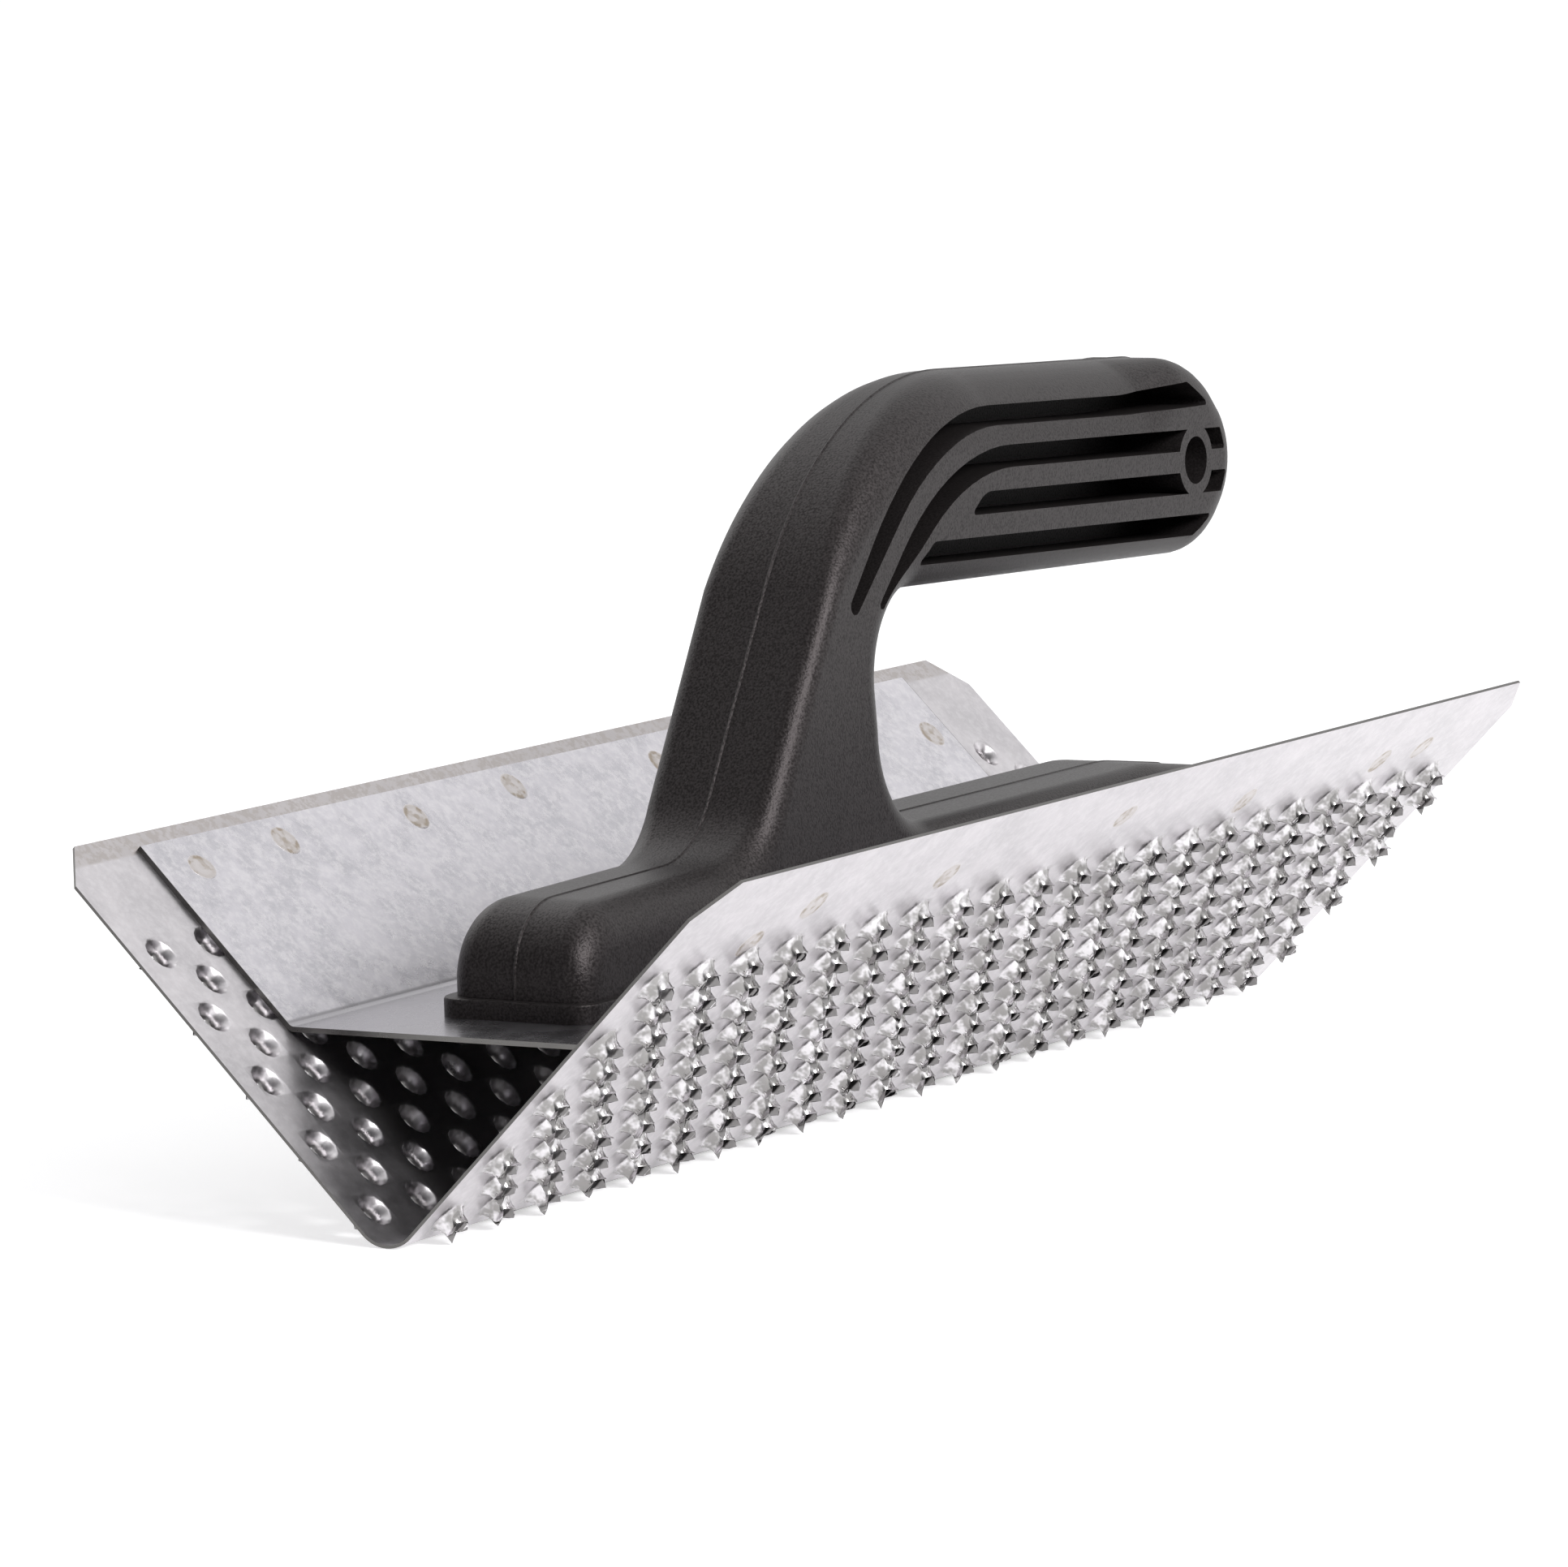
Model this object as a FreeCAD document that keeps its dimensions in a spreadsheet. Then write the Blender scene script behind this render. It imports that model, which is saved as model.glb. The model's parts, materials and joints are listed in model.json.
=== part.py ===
import FreeCAD, Part
import math
import os
import re
import Sketcher

# Foam rasp: a punched sheet steel V, a welded carrier channel and a moulded handle.
# Frame: +X runs along the fold towards the handle's closed end, +Y crosses the V and +Z is up.
# The origin lies midway along the plate, on the surface that the lowest tooth tips stand on.

# Driving sizes, in millimetres and degrees. Slants are measured up a wall's outer face from
# the sharp edge in which the two outer faces would meet.
SIZES = (
    ("plate_length", 280, "rasp plate, along the fold"),
    ("plate_slant", 83.3, "each wall, from the sharp edge to the top edge"),
    ("plate_thickness", 0.5, "rasp plate sheet"),
    ("fold_half_angle", 45, "each wall from the upright middle plane"),
    ("fold_radius", 7, "outside of the fold"),
    ("plate_corner_cut", 7, "cut across each top corner"),
    ("row_count", 9, "tooth rows on each wall"),
    ("row_teeth", 21, "teeth in a row"),
    ("first_row", 9.3, "slant of the lowest row"),
    ("row_pitch", 6.5, "slant from row to row"),
    ("end_margin", 6.75, "plate's ends to the nearest teeth"),
    ("tooth_base", 4.4, "side of the square on which a crown stands"),
    ("tooth_hole", 2.8, "side of the square hole through a crown"),
    ("petal_height", 3.4, "petal tips over the outer face"),
    ("petal_reach", 2.5, "petal tips from the crown's axis"),
    ("carrier_inset", 20.5, "plate's ends to the carrier channel's ends"),
    ("carrier_thickness", 0.8, "carrier sheet"),
    ("carrier_slant", 80.3, "top edge of the flanges"),
    ("carrier_bend", 1.5, "inside radius between web and flange"),
    ("web_height", 31.2, "top of the web over the sharp edge"),
    ("handle_front", 37.8, "heel of the handle from the plate's front end"),
    ("handle_width", 25, "handle across its two faces"),
    ("edge_bevel", 3.4, "bevel along the outline"),
    ("heel_height", 17.7, "heel over the web"),
    ("heel_radius", 11, "heel's upper corner"),
    ("stem_foot", 53.7, "heel to the foot of the leaning stem"),
    ("stem_foot_radius", 17, "hollow between heel and stem"),
    ("grip_corner", 98.1, "heel to the sharp corner of stem and grip"),
    ("grip_height", 90.2, "that corner over the web"),
    ("grip_corner_radius", 64, "round back of the stem"),
    ("grip_droop", 2.46, "slope of the grip towards its end, in degrees"),
    ("grip_depth", 34.5, "grip from top to underside"),
    ("shoulder_run", 208, "heel to the grip's upper shoulder"),
    ("shoulder_radius", 36, "upper shoulder"),
    ("nose_run", 238.7, "heel to the sharp point of the grip's end"),
    ("nose_drop", 26.7, "grip corner down to that point"),
    ("nose_radius", 13.5, "grip's end"),
    ("belly_run", 205.4, "heel to the grip's lower shoulder"),
    ("belly_radius", 46, "lower shoulder"),
    ("gap_front", 95.2, "heel to the front of the finger gap"),
    ("gap_upper_share", 0.357, "finger gap's upper corner radius, as a share of the gap's height"),
    ("gap_lower_share", 0.434, "finger gap's lower corner radius, as a share of the gap's height"),
    ("foot_height", 17.1, "foot over the web, below the finger gap"),
    ("foot_slope_run", 27.7, "rear end of the foot to where it starts to drop"),
    ("foot_break_radius", 40, "soft corner there"),
    ("foot_rear_gap", 3, "rear end of the foot to the carrier channel's end"),
    ("foot_slope_drop", 3.7, "drop of the foot down to its rear end"),
    ("foot_end_radius", 8, "rear corner of the foot"),
    ("rim_margin", 2, "rim beyond the foot's ends"),
    ("rim_width", 28.6, "rim across"),
    ("rim_height", 2.3, "rim over the web"),
    ("rim_corner", 4.5, "rim's plan corners"),
    ("slot_web", 3, "wall left between the slots of the two faces"),
    ("slot_pitch", 7.35, "from slot to slot down the grip"),
    ("slot_height", 3.7, "slot's width on the grip"),
    ("first_slot_depth", 4.9, "grip's top to the first slot"),
    ("slot_end_drop", 36.8, "grip corner down to the lower ends of the two long slots"),
    ("slot_1_outer_end", 12.53, "finger gap's front to the lower end of the first slot's upper edge"),
    ("slot_1_outer_angle", 10.1, "turn of its lower stretch from the stem, in degrees"),
    ("slot_1_outer_radius", 50, "bend between that edge's two stretches"),
    ("slot_1_outer_stop", 32.8, "nose point back to the closed end of that edge"),
    ("slot_1_inner_end", 7.39, "the same for its lower edge"),
    ("slot_1_inner_angle", 19.6, "turn of its lower stretch from the stem, in degrees"),
    ("slot_1_inner_radius", 40, "bend between that edge's two stretches"),
    ("slot_1_inner_stop", 28, "nose point back to the closed end of that edge"),
    ("slot_2_outer_end", 2.18, "the same for the second slot's upper edge"),
    ("slot_2_outer_angle", 12.4, "turn of its lower stretch from the stem, in degrees"),
    ("slot_2_outer_radius", 48, "bend between that edge's two stretches"),
    ("slot_2_outer_stop", 24.4, "nose point back to the closed end of that edge"),
    ("slot_2_inner_end", 0.01, "the same for its lower edge"),
    ("slot_2_inner_angle", 24.2, "turn of its lower stretch from the stem, in degrees"),
    ("slot_2_inner_radius", 46, "bend between that edge's two stretches"),
    ("slot_2_inner_stop", 22.8, "nose point back to the closed end of that edge"),
    ("slot_3_front", 9.6, "line of the second slot's lower edge to the third slot's front"),
    ("slot_3_lean", 5, "lean of that front"),
    ("slot_3_radius", 7, "upper corner of that front"),
    ("slot_3_outer_stop", 22.2, "nose point back to the closed end of its upper edge"),
    ("slot_3_inner_stop", 24.2, "nose point back to the closed end of its lower edge"),
    ("slot_4_front", 2.9, "line of the second slot's lower edge to the fourth slot's front"),
    ("slot_4_lean", 5, "lean of that front"),
    ("slot_4_radius", 2.5, "upper corner of that front"),
    ("slot_4_outer_stop", 27.6, "nose point back to the closed end of its upper edge"),
    ("slot_4_inner_stop", 33.2, "nose point back to the closed end of its lower edge"),
    ("ring_diameter", 12.4, "ring round the hang hole"),
    ("hang_hole_diameter", 8.2, "hang hole"),
    ("hang_hole_run", 204.9, "heel to the hang hole"),
    ("hang_hole_drop", 22.2, "grip corner down to the hang hole"),
    ("screw_count", 2, "foot screws"),
    ("screw_pitch", 140, "from screw to screw"),
    ("screw_head_diameter", 7.8, "cheese head"),
    ("screw_head_height", 2.4, "cheese head"),
    ("screw_diameter", 4, "screw shank"),
    ("screw_length", 13, "shank under the head"),
    ("screw_clearance", 0.3, "web hole round the shank, on the radius"),
    ("pilot_clearance", 0.05, "pilot bore round the shank, on the radius"),
    ("pilot_spare", 1.2, "pilot bore beyond the screw's end"),
)


doc = FreeCAD.newDocument("foam_rasp")
sheet = doc.addObject("Spreadsheet::Sheet", "Sizes")

NAMES = []
for row, (name, value, meaning) in enumerate(SIZES, start=1):
    sheet.set("A%d" % row, name)
    sheet.set("B%d" % row, str(value))
    sheet.set("C%d" % row, meaning)
    sheet.setAlias("B%d" % row, name)
    NAMES.append(name)
doc.recompute()

ALIAS = re.compile(r"\b(" + "|".join(sorted(NAMES, key=len, reverse=True)) + r")\b")


def bound(formula):
    """Points each size named in a formula at its cell."""
    return ALIAS.sub(lambda found: "Sizes." + found.group(0), formula)


def number(formula):
    """Works a formula of named sizes out to a plain number."""
    value = sheet.evalExpression(bound(formula))
    return float(getattr(value, "Value", value))


# Levels and places that several pieces share.
VERTEX = "(petal_height * sin(fold_half_angle) - (first_row - petal_reach) * cos(fold_half_angle))"
WEB_TOP = "(%s + web_height)" % VERTEX
WEB_UNDERSIDE = "(%s - carrier_thickness)" % WEB_TOP
FLANGE_DEPTH = "(plate_thickness + carrier_thickness)"
TOOTH_PITCH = "((plate_length - 2 * end_margin) / (row_teeth - 1 / 2))"
CARRIER_LENGTH = "(plate_length - 2 * carrier_inset)"
FOOT_LENGTH = "(plate_length - carrier_inset - handle_front - foot_rear_gap)"
GAP_HEIGHT = "(grip_height - (gap_front - grip_corner) * tan(grip_droop) - grip_depth - foot_height)"
STEM_ANGLE = "(atan((grip_height - heel_height) / (grip_corner - stem_foot)) / 1deg)"
FIRST_SCREW = "(handle_front + " + FOOT_LENGTH + " / 2 - screw_pitch * (screw_count - 1) / 2 - plate_length / 2)"


def wall_y(slant, depth):
    """Y of the point at a slant and a depth inside the far wall's outer face."""
    return "((%s) * sin(fold_half_angle) - (%s) * cos(fold_half_angle))" % (slant, depth)


def wall_z(slant, depth):
    """Z of that point."""
    return "(%s + (%s) * cos(fold_half_angle) + (%s) * sin(fold_half_angle))" % (VERTEX, slant, depth)


def handle_x(run):
    """X at a run behind the heel."""
    return "(handle_front - plate_length / 2 + (%s))" % run


def handle_z(height):
    """Z at a height over the web."""
    return "(%s + (%s))" % (WEB_TOP, height)


def grip_z(run, depth):
    """Z at a run behind the heel and a depth under the grip's top line."""
    return handle_z("grip_height - (%s - grip_corner) * tan(grip_droop) - (%s)" % (run, depth))


def new_body(label):
    """Starts a body."""
    body = doc.addObject("PartDesign::Body", label)
    body.Label = label
    return body


def plane_of(body, role):
    """Finds one of the body's own origin planes or axes."""
    return next(item for item in body.Origin.OriginFeatures if item.Role == role)


def tie_point(sketch, geometry, point, place, label):
    """Ties a point of the sketch to two formulas, measured from the sketch's origin."""
    for kind, formula in zip(("DistanceX", "DistanceY"), place):
        index = sketch.addConstraint(Sketcher.Constraint(kind, -1, 1, geometry, point, number(formula)))
        name = "%s_%s" % (label, kind[-1].lower())
        sketch.renameConstraint(index, name)
        sketch.setExpression("Constraints." + name, bound(formula))


def tie_radius(sketch, geometry, formula, label):
    """Ties the radius of a circle or an arc to a formula."""
    index = sketch.addConstraint(Sketcher.Constraint("Radius", geometry, number(formula)))
    sketch.renameConstraint(index, label + "_radius")
    sketch.setExpression("Constraints.%s_radius" % label, bound(formula))


def arc_between(start, end, radius, clockwise):
    """The short arc from one point to another."""
    chord = end - start
    side = FreeCAD.Vector(chord.y, -chord.x, 0).normalize() * (1 if clockwise else -1)
    centre = (start + end) / 2 + side * math.sqrt(radius ** 2 - chord.Length ** 2 / 4)
    circle = Part.Circle(centre, FreeCAD.Vector(0, 0, 1), radius)
    ends = (end, start) if clockwise else (start, end)
    return Part.ArcOfCircle(circle, *(circle.parameter(point) for point in ends))


def add_outline(sketch, corners, prefix, bends=None):
    """Draws a closed outline whose corners are pairs of formulas.

    bends maps a corner's place to (radius, clockwise) where an arc leads on from that corner.
    """
    bends = bends or {}
    points = [FreeCAD.Vector(number(u), number(v), 0) for u, v in corners]
    first = sketch.GeometryCount
    total = len(points)
    ends = []
    for place, start in enumerate(points):
        end = points[(place + 1) % total]
        if place in bends:
            radius, clockwise = bends[place]
            piece = sketch.addGeometry(arc_between(start, end, number(radius), clockwise), False)
            tie_radius(sketch, piece, radius, "%s_%d" % (prefix, place))
            ends.append((2, 1) if clockwise else (1, 2))
        else:
            sketch.addGeometry(Part.LineSegment(start, end), False)
            ends.append((1, 2))
    for place in range(total):
        after = (place + 1) % total
        sketch.addConstraint(Sketcher.Constraint("Coincident", first + place, ends[place][1],
                                                 first + after, ends[after][0]))
    for place, corner in enumerate(corners):
        tie_point(sketch, first + place, ends[place][0], corner, "%s_%d" % (prefix, place))


def add_circle(sketch, centre, radius, prefix):
    """Draws a circle from formulas for its centre and radius."""
    middle = FreeCAD.Vector(number(centre[0]), number(centre[1]), 0)
    outline = Part.Circle(middle, FreeCAD.Vector(0, 0, 1), number(radius))
    circle = sketch.addGeometry(outline, False)
    tie_radius(sketch, circle, radius, prefix)
    tie_point(sketch, circle, 3, centre, prefix)


def new_sketch(body, role, name, offset="0"):
    """Attaches a sketch to one of the body's origin planes, raised by a formula."""
    sketch = body.newObject("Sketcher::SketchObject", name)
    sketch.AttachmentSupport = [(plane_of(body, role), "")]
    sketch.MapMode = "FlatFace"
    sketch.AttachmentOffset.Base.z = number(offset)
    sketch.setExpression(".AttachmentOffset.Base.z", bound(offset))
    return sketch


def pad(body, sketch, name, length, midplane):
    """Raises a sketch by a formula."""
    feature = body.newObject("PartDesign::Pad", name)
    feature.Profile = sketch
    feature.Midplane = midplane
    feature.setExpression("Length", bound(length))
    doc.recompute()
    return feature


def pocket(body, sketch, name, length, reversed_side=False, midplane=False):
    """Cuts a sketch to a depth and makes sure that it removed material."""
    before = body.Shape.Volume
    feature = body.newObject("PartDesign::Pocket", name)
    feature.Profile = sketch
    feature.Midplane = midplane
    feature.Reversed = reversed_side
    feature.setExpression("Length", bound(length))
    doc.recompute()
    if body.Shape.Volume >= before:
        raise RuntimeError(name + " cut nothing")
    return feature


def edges_where(shape, wanted):
    """Names the edges that a test picks out."""
    return ["Edge%d" % (i + 1) for i, edge in enumerate(shape.Edges) if wanted(edge)]


def edges_along(shape, direction, points):
    """Names the straight edges along a direction whose line passes one of the points."""
    near = number("plate_thickness") / 10

    def wanted(edge):
        if edge.Curve.TypeId != "Part::GeomLine":
            return False
        if edge.Curve.Direction.cross(direction).Length > 1e-6:
            return False
        middle = edge.CenterOfMass
        return any((middle - point).cross(direction).Length < near for point in points)

    return edges_where(shape, wanted)


def dress(body, kind, name, base, edges, size, formula):
    """Adds a fillet or a chamfer of a formula's size to named edges."""
    if not edges:
        raise RuntimeError(name + " found no edge")
    feature = body.newObject("PartDesign::" + kind, name)
    feature.Base = (base, edges)
    feature.setExpression(size, bound(formula))
    doc.recompute()
    return feature


def fillet_along(body, name, base, direction, places, formula):
    """Rounds the straight edges along a direction at places given as pairs of formulas."""
    if direction.x:
        points = [FreeCAD.Vector(0, number(u), number(v)) for u, v in places]
    else:
        points = [FreeCAD.Vector(number(u), 0, number(v)) for u, v in places]
    edges = edges_along(base.Shape, direction, points)
    return dress(body, "Fillet", name, base, edges, "Radius", formula)


ALONG = FreeCAD.Vector(1, 0, 0)
ACROSS = FreeCAD.Vector(0, 1, 0)


def mirrored_outline(right_side):
    """Completes a symmetric section from its right half, listed from below to above and back."""
    left_side = [("-(%s)" % y, z) for y, z in reversed(right_side)]
    return right_side + left_side


# Rasp plate blank: a folded V with its four top corners cut off.
def make_blank():
    body = new_body("plate_blank")
    sketch = new_sketch(body, "YZ_Plane", "plate_section")
    sharp_outside = ("0", VERTEX)
    sharp_inside = ("0", "(%s + plate_thickness / sin(fold_half_angle))" % VERTEX)
    top_outside = (wall_y("plate_slant", "0"), wall_z("plate_slant", "0"))
    top_inside = (wall_y("plate_slant", "plate_thickness"), wall_z("plate_slant", "plate_thickness"))
    left = [("-(%s)" % y, z) for y, z in (top_inside, top_outside)]
    outline = [sharp_outside, top_outside, top_inside, sharp_inside] + left
    add_outline(sketch, outline, "plate")
    base = pad(body, sketch, "plate_pad", "plate_length", True)
    base = fillet_along(body, "fold_outside", base, ALONG, [sharp_outside], "fold_radius")
    base = fillet_along(body, "fold_inside", base, ALONG, [sharp_inside],
                        "fold_radius - plate_thickness")
    end = number("plate_length / 2")
    top = number(wall_z("plate_slant", "plate_thickness / 2"))
    near = number("plate_thickness") / 10

    def at_corner(edge):
        middle = edge.CenterOfMass
        return abs(abs(middle.x) - end) < near and abs(middle.z - top) < near

    corners = edges_where(base.Shape, at_corner)
    dress(body, "Chamfer", "corner_cuts", base, corners, "Size", "plate_corner_cut")
    return body


class Wall:
    """One wall of the V, with its own axes along the fold, up the slant and outwards."""

    def __init__(self, side):
        half = math.radians(number("fold_half_angle"))
        self.origin = FreeCAD.Vector(0, 0, number(VERTEX))
        self.up = FreeCAD.Vector(0, side * math.sin(half), math.cos(half))
        self.out = FreeCAD.Vector(0, side * math.cos(half), -math.sin(half))

    def point(self, along, slant, height):
        """The point at a height over the outer face."""
        return self.origin + ALONG * along + self.up * slant + self.out * height

    def tooth_centres(self):
        """Lists (along, slant) of every tooth."""
        pitch = number(TOOTH_PITCH)
        teeth = round(number("row_teeth"))
        start = number("end_margin - plate_length / 2")
        centres = []
        for line in range(round(number("row_count"))):
            shift = pitch / 2 if line % 2 else 0
            slant = number("first_row") + line * number("row_pitch")
            centres += [(start + shift + tooth * pitch, slant) for tooth in range(teeth)]
        return centres


# Corners of a square and middles of its sides, as shares of its half side.
SQUARE_SHARES = ((1, -1), (1, 1), (-1, 1), (-1, -1))
SIDE_SHARES = ((1, 0), (0, 1), (-1, 0), (0, -1))


def make_crown(wall, along, slant):
    """One torn crown: its two square rims and the triangles of its four petals."""
    thickness = number("plate_thickness")
    base = number("tooth_base") / 2
    hole = number("tooth_hole") / 2
    reach = number("petal_reach")
    height = number("petal_height")
    outer = [wall.point(along + u * base, slant + v * base, 0) for u, v in SQUARE_SHARES]
    inner = [wall.point(along + u * hole, slant + v * hole, -thickness) for u, v in SQUARE_SHARES]
    tips = [wall.point(along + u * reach, slant + v * reach, height) for u, v in SIDE_SHARES]
    triangles = []
    for side, tip in enumerate(tips):
        after = (side + 1) % len(tips)
        triangles.append((outer[side], outer[after], tip))
        triangles.append((inner[side], inner[after], tip))
        triangles.append((outer[side], inner[side], tip))
        triangles.append((outer[after], inner[after], tip))
    return outer, inner, [Part.Face(Part.makePolygon(list(t) + [t[0]])) for t in triangles]


def is_wall_face(face, wall):
    """True for the outer or the inner flat face of a wall."""
    if face.Surface.TypeId != "Part::GeomPlane":
        return False
    flat = face.Surface.Axis.cross(wall.out).Length < 1e-6
    return flat and face.Area > number("plate_length * plate_slant") / 2


# Rasp plate: the blank with a crown torn outwards round every hole.
def make_rasp_plate(blank):
    walls = [Wall(side) for side in (-1, 1)]
    faces = []
    for face in blank.Shape.Faces:
        if not any(is_wall_face(face, wall) for wall in walls):
            faces.append(face)
    for wall in walls:
        rims = {0: [], 1: []}
        for along, slant in wall.tooth_centres():
            outer, inner, triangles = make_crown(wall, along, slant)
            faces += triangles
            rims[0].append(Part.makePolygon(outer + [outer[0]]))
            rims[1].append(Part.makePolygon(inner + [inner[0]]))
        for face in blank.Shape.Faces:
            if is_wall_face(face, wall):
                outside = abs((face.CenterOfMass - wall.origin).dot(wall.out)) \
                    < number("plate_thickness") / 2
                holes = rims[0] if outside else rims[1]
                faces.append(Part.makeFace([face.OuterWire] + holes, "Part::FaceMakerCheese"))
    skin = Part.makeCompound(faces)
    skin.sewShape(number("plate_thickness") / 500)
    shell = skin.Shells[0] if skin.ShapeType == "Compound" else skin
    solid = Part.Solid(shell)
    if solid.Volume < 0:
        solid.reverse()
    plate = doc.addObject("Part::Feature", "rasp_plate")
    plate.Label = "rasp_plate"
    plate.Shape = solid
    plate.Placement = FreeCAD.Placement()
    return plate


def pattern_along(body, name, original):
    """Repeats a feature for every foot screw."""
    pattern = body.newObject("PartDesign::LinearPattern", name)
    pattern.Originals = [original]
    pattern.Direction = (plane_of(body, "X_Axis"), [""])
    pattern.setExpression("Length", bound("screw_pitch * (screw_count - 1)"))
    pattern.setExpression("Occurrences", bound("screw_count"))
    body.Tip = pattern
    doc.recompute()
    return pattern


# Carrier channel: a web with two flanges that lie on the walls' inner faces.
def make_carrier():
    body = new_body("carrier_channel")
    sketch = new_sketch(body, "YZ_Plane", "carrier_section")
    web_top_height = "web_height"
    web_low_height = "(web_height - carrier_thickness)"
    corner_top = ("(%s * tan(fold_half_angle) - %s / cos(fold_half_angle))"
                  % (web_top_height, FLANGE_DEPTH), WEB_TOP)
    corner_low = ("(%s * tan(fold_half_angle) - plate_thickness / cos(fold_half_angle))"
                  % web_low_height, WEB_UNDERSIDE)
    end_low = (wall_y("carrier_slant", "plate_thickness"), wall_z("carrier_slant", "plate_thickness"))
    end_top = (wall_y("carrier_slant", FLANGE_DEPTH), wall_z("carrier_slant", FLANGE_DEPTH))
    right = [corner_low, end_low, end_top, corner_top]
    add_outline(sketch, mirrored_outline(right), "carrier")
    base = pad(body, sketch, "carrier_pad", CARRIER_LENGTH, True)
    for name, corner, radius in (("bend_top", corner_top, "carrier_bend"),
                                 ("bend_low", corner_low, "carrier_bend + carrier_thickness")):
        places = [corner, ("-(%s)" % corner[0], corner[1])]
        base = fillet_along(body, name, base, ALONG, places, radius)
    holes = new_sketch(body, "XY_Plane", "web_hole", WEB_TOP)
    add_circle(holes, (FIRST_SCREW, "0"), "screw_diameter / 2 + screw_clearance", "web_hole")
    hole = pocket(body, holes, "web_hole_cut", "2 * carrier_thickness")
    pattern_along(body, "web_holes", hole)
    return body


# Handle outline, with the radius of each rounded corner, from the heel's base round the back.
def handle_corners():
    return (
        ("0", handle_z("0"), None),
        ("0", handle_z("heel_height"), "heel_radius"),
        ("stem_foot", handle_z("heel_height"), "stem_foot_radius"),
        ("grip_corner", handle_z("grip_height"), "grip_corner_radius"),
        ("shoulder_run", grip_z("shoulder_run", "0"), "shoulder_radius"),
        ("nose_run", handle_z("grip_height - nose_drop"), "nose_radius"),
        ("belly_run", grip_z("belly_run", "grip_depth"), "belly_radius"),
        ("gap_front", grip_z("gap_front", "grip_depth"), GAP_HEIGHT + " * gap_upper_share"),
        ("gap_front", handle_z("foot_height"), GAP_HEIGHT + " * gap_lower_share"),
        (FOOT_LENGTH + " - foot_slope_run", handle_z("foot_height"), "foot_break_radius"),
        (FOOT_LENGTH, handle_z("foot_height - foot_slope_drop"), "foot_end_radius"),
        (FOOT_LENGTH, handle_z("0"), None),
    )


def slot_edge(name, below):
    """Corners of one edge of a long slot: its lower end, its bend's two ends and its closed end."""
    slope = "(%s - %s_angle)" % (STEM_ANGLE, name)
    end = "(gap_front - %s_end)" % name
    rise = "(slot_end_drop + grip_corner * tan(grip_droop) - (%s))" % below
    run = "((%s + %s / tan(%s)) / (1 + tan(grip_droop) / tan(%s)))" % (end, rise, slope, slope)
    bend_z = grip_z(run, below)
    tangent = "%s_radius * tan((%s + grip_droop) / 2)" % (name, slope)
    bend_start = (handle_x("%s - %s * cos(%s)" % (run, tangent, slope)),
                  "(%s - %s * sin(%s))" % (bend_z, tangent, slope))
    bend_end = (handle_x("%s + %s * cos(grip_droop)" % (run, tangent)),
                "(%s - %s * sin(grip_droop))" % (bend_z, tangent))
    far = "nose_run - %s_stop" % name
    return [(handle_x(end), handle_z("grip_height - slot_end_drop")), bend_start, bend_end,
            (handle_x(far), grip_z(far, below))]


def long_slot(name, above):
    """Outline of a slot that bends down the stem, and its bends."""
    outer = slot_edge(name + "_outer", above)
    inner = slot_edge(name + "_inner", above + " + slot_height")
    outline = outer + inner[::-1]
    bends = {1: (name + "_outer_radius", True), 5: (name + "_inner_radius", False)}
    return outline, bends, ()


def short_slot(name, above):
    """Outline of a slot that starts on the grip, and its rounded corner."""
    below = above + " + slot_height"
    far_top = "nose_run - %s_outer_stop" % name
    far_low = "nose_run - %s_inner_stop" % name
    line = "(gap_front - slot_2_inner_end + (slot_end_drop - (%s)) / tan(%s - slot_2_inner_angle))"
    run = "(%s + %s_front)" % (line % (below, STEM_ANGLE), name)
    lip = "%s + %s_lean" % (run, name)
    front_low = (handle_x(run), grip_z(run, below))
    front_top = (handle_x(lip), grip_z(lip, above))
    outline = [front_low, front_top, (handle_x(far_top), grip_z(far_top, above)),
               (handle_x(far_low), grip_z(far_low, below))]
    return outline, {}, ((front_top, name + "_radius"),)


SLOTS = (("slot_1", long_slot), ("slot_2", long_slot), ("slot_3", short_slot), ("slot_4", short_slot))


# Handle: foot, stem and grip in one moulding, slotted from both faces.
def make_handle():
    body = new_body("handle")
    corners = handle_corners()
    sketch = new_sketch(body, "XZ_Plane", "handle_outline")
    add_outline(sketch, [(handle_x(run), height) for run, height, _ in corners], "outline")
    base = pad(body, sketch, "handle_pad", "handle_width", True)
    for place, (run, height, radius) in enumerate(corners):
        if radius:
            corner = (handle_x(run), height)
            base = fillet_along(body, "outline_bend_%d" % place, base, ACROSS, [corner], radius)
    half = number("handle_width / 2")
    floor = number(handle_z("0"))
    near = number("plate_thickness") / 10

    def on_a_face(edge):
        box = edge.BoundBox
        flat = box.YLength < near and abs(abs(box.YMin) - half) < near
        return flat and box.ZMax > floor + near

    edges = edges_where(base.Shape, on_a_face)
    dress(body, "Chamfer", "outline_bevel", base, edges, "Size", "edge_bevel")
    add_rim(body)
    cut_slots(body)
    add_hang_hole(body)
    bores = new_sketch(body, "XY_Plane", "pilot_bore", WEB_TOP)
    add_circle(bores, (FIRST_SCREW, "0"), "screw_diameter / 2 + pilot_clearance", "pilot")
    bore = pocket(body, bores, "pilot_bore_cut",
                  "screw_length - carrier_thickness + pilot_spare", reversed_side=True)
    pattern_along(body, "pilot_bores", bore)
    return body


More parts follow.
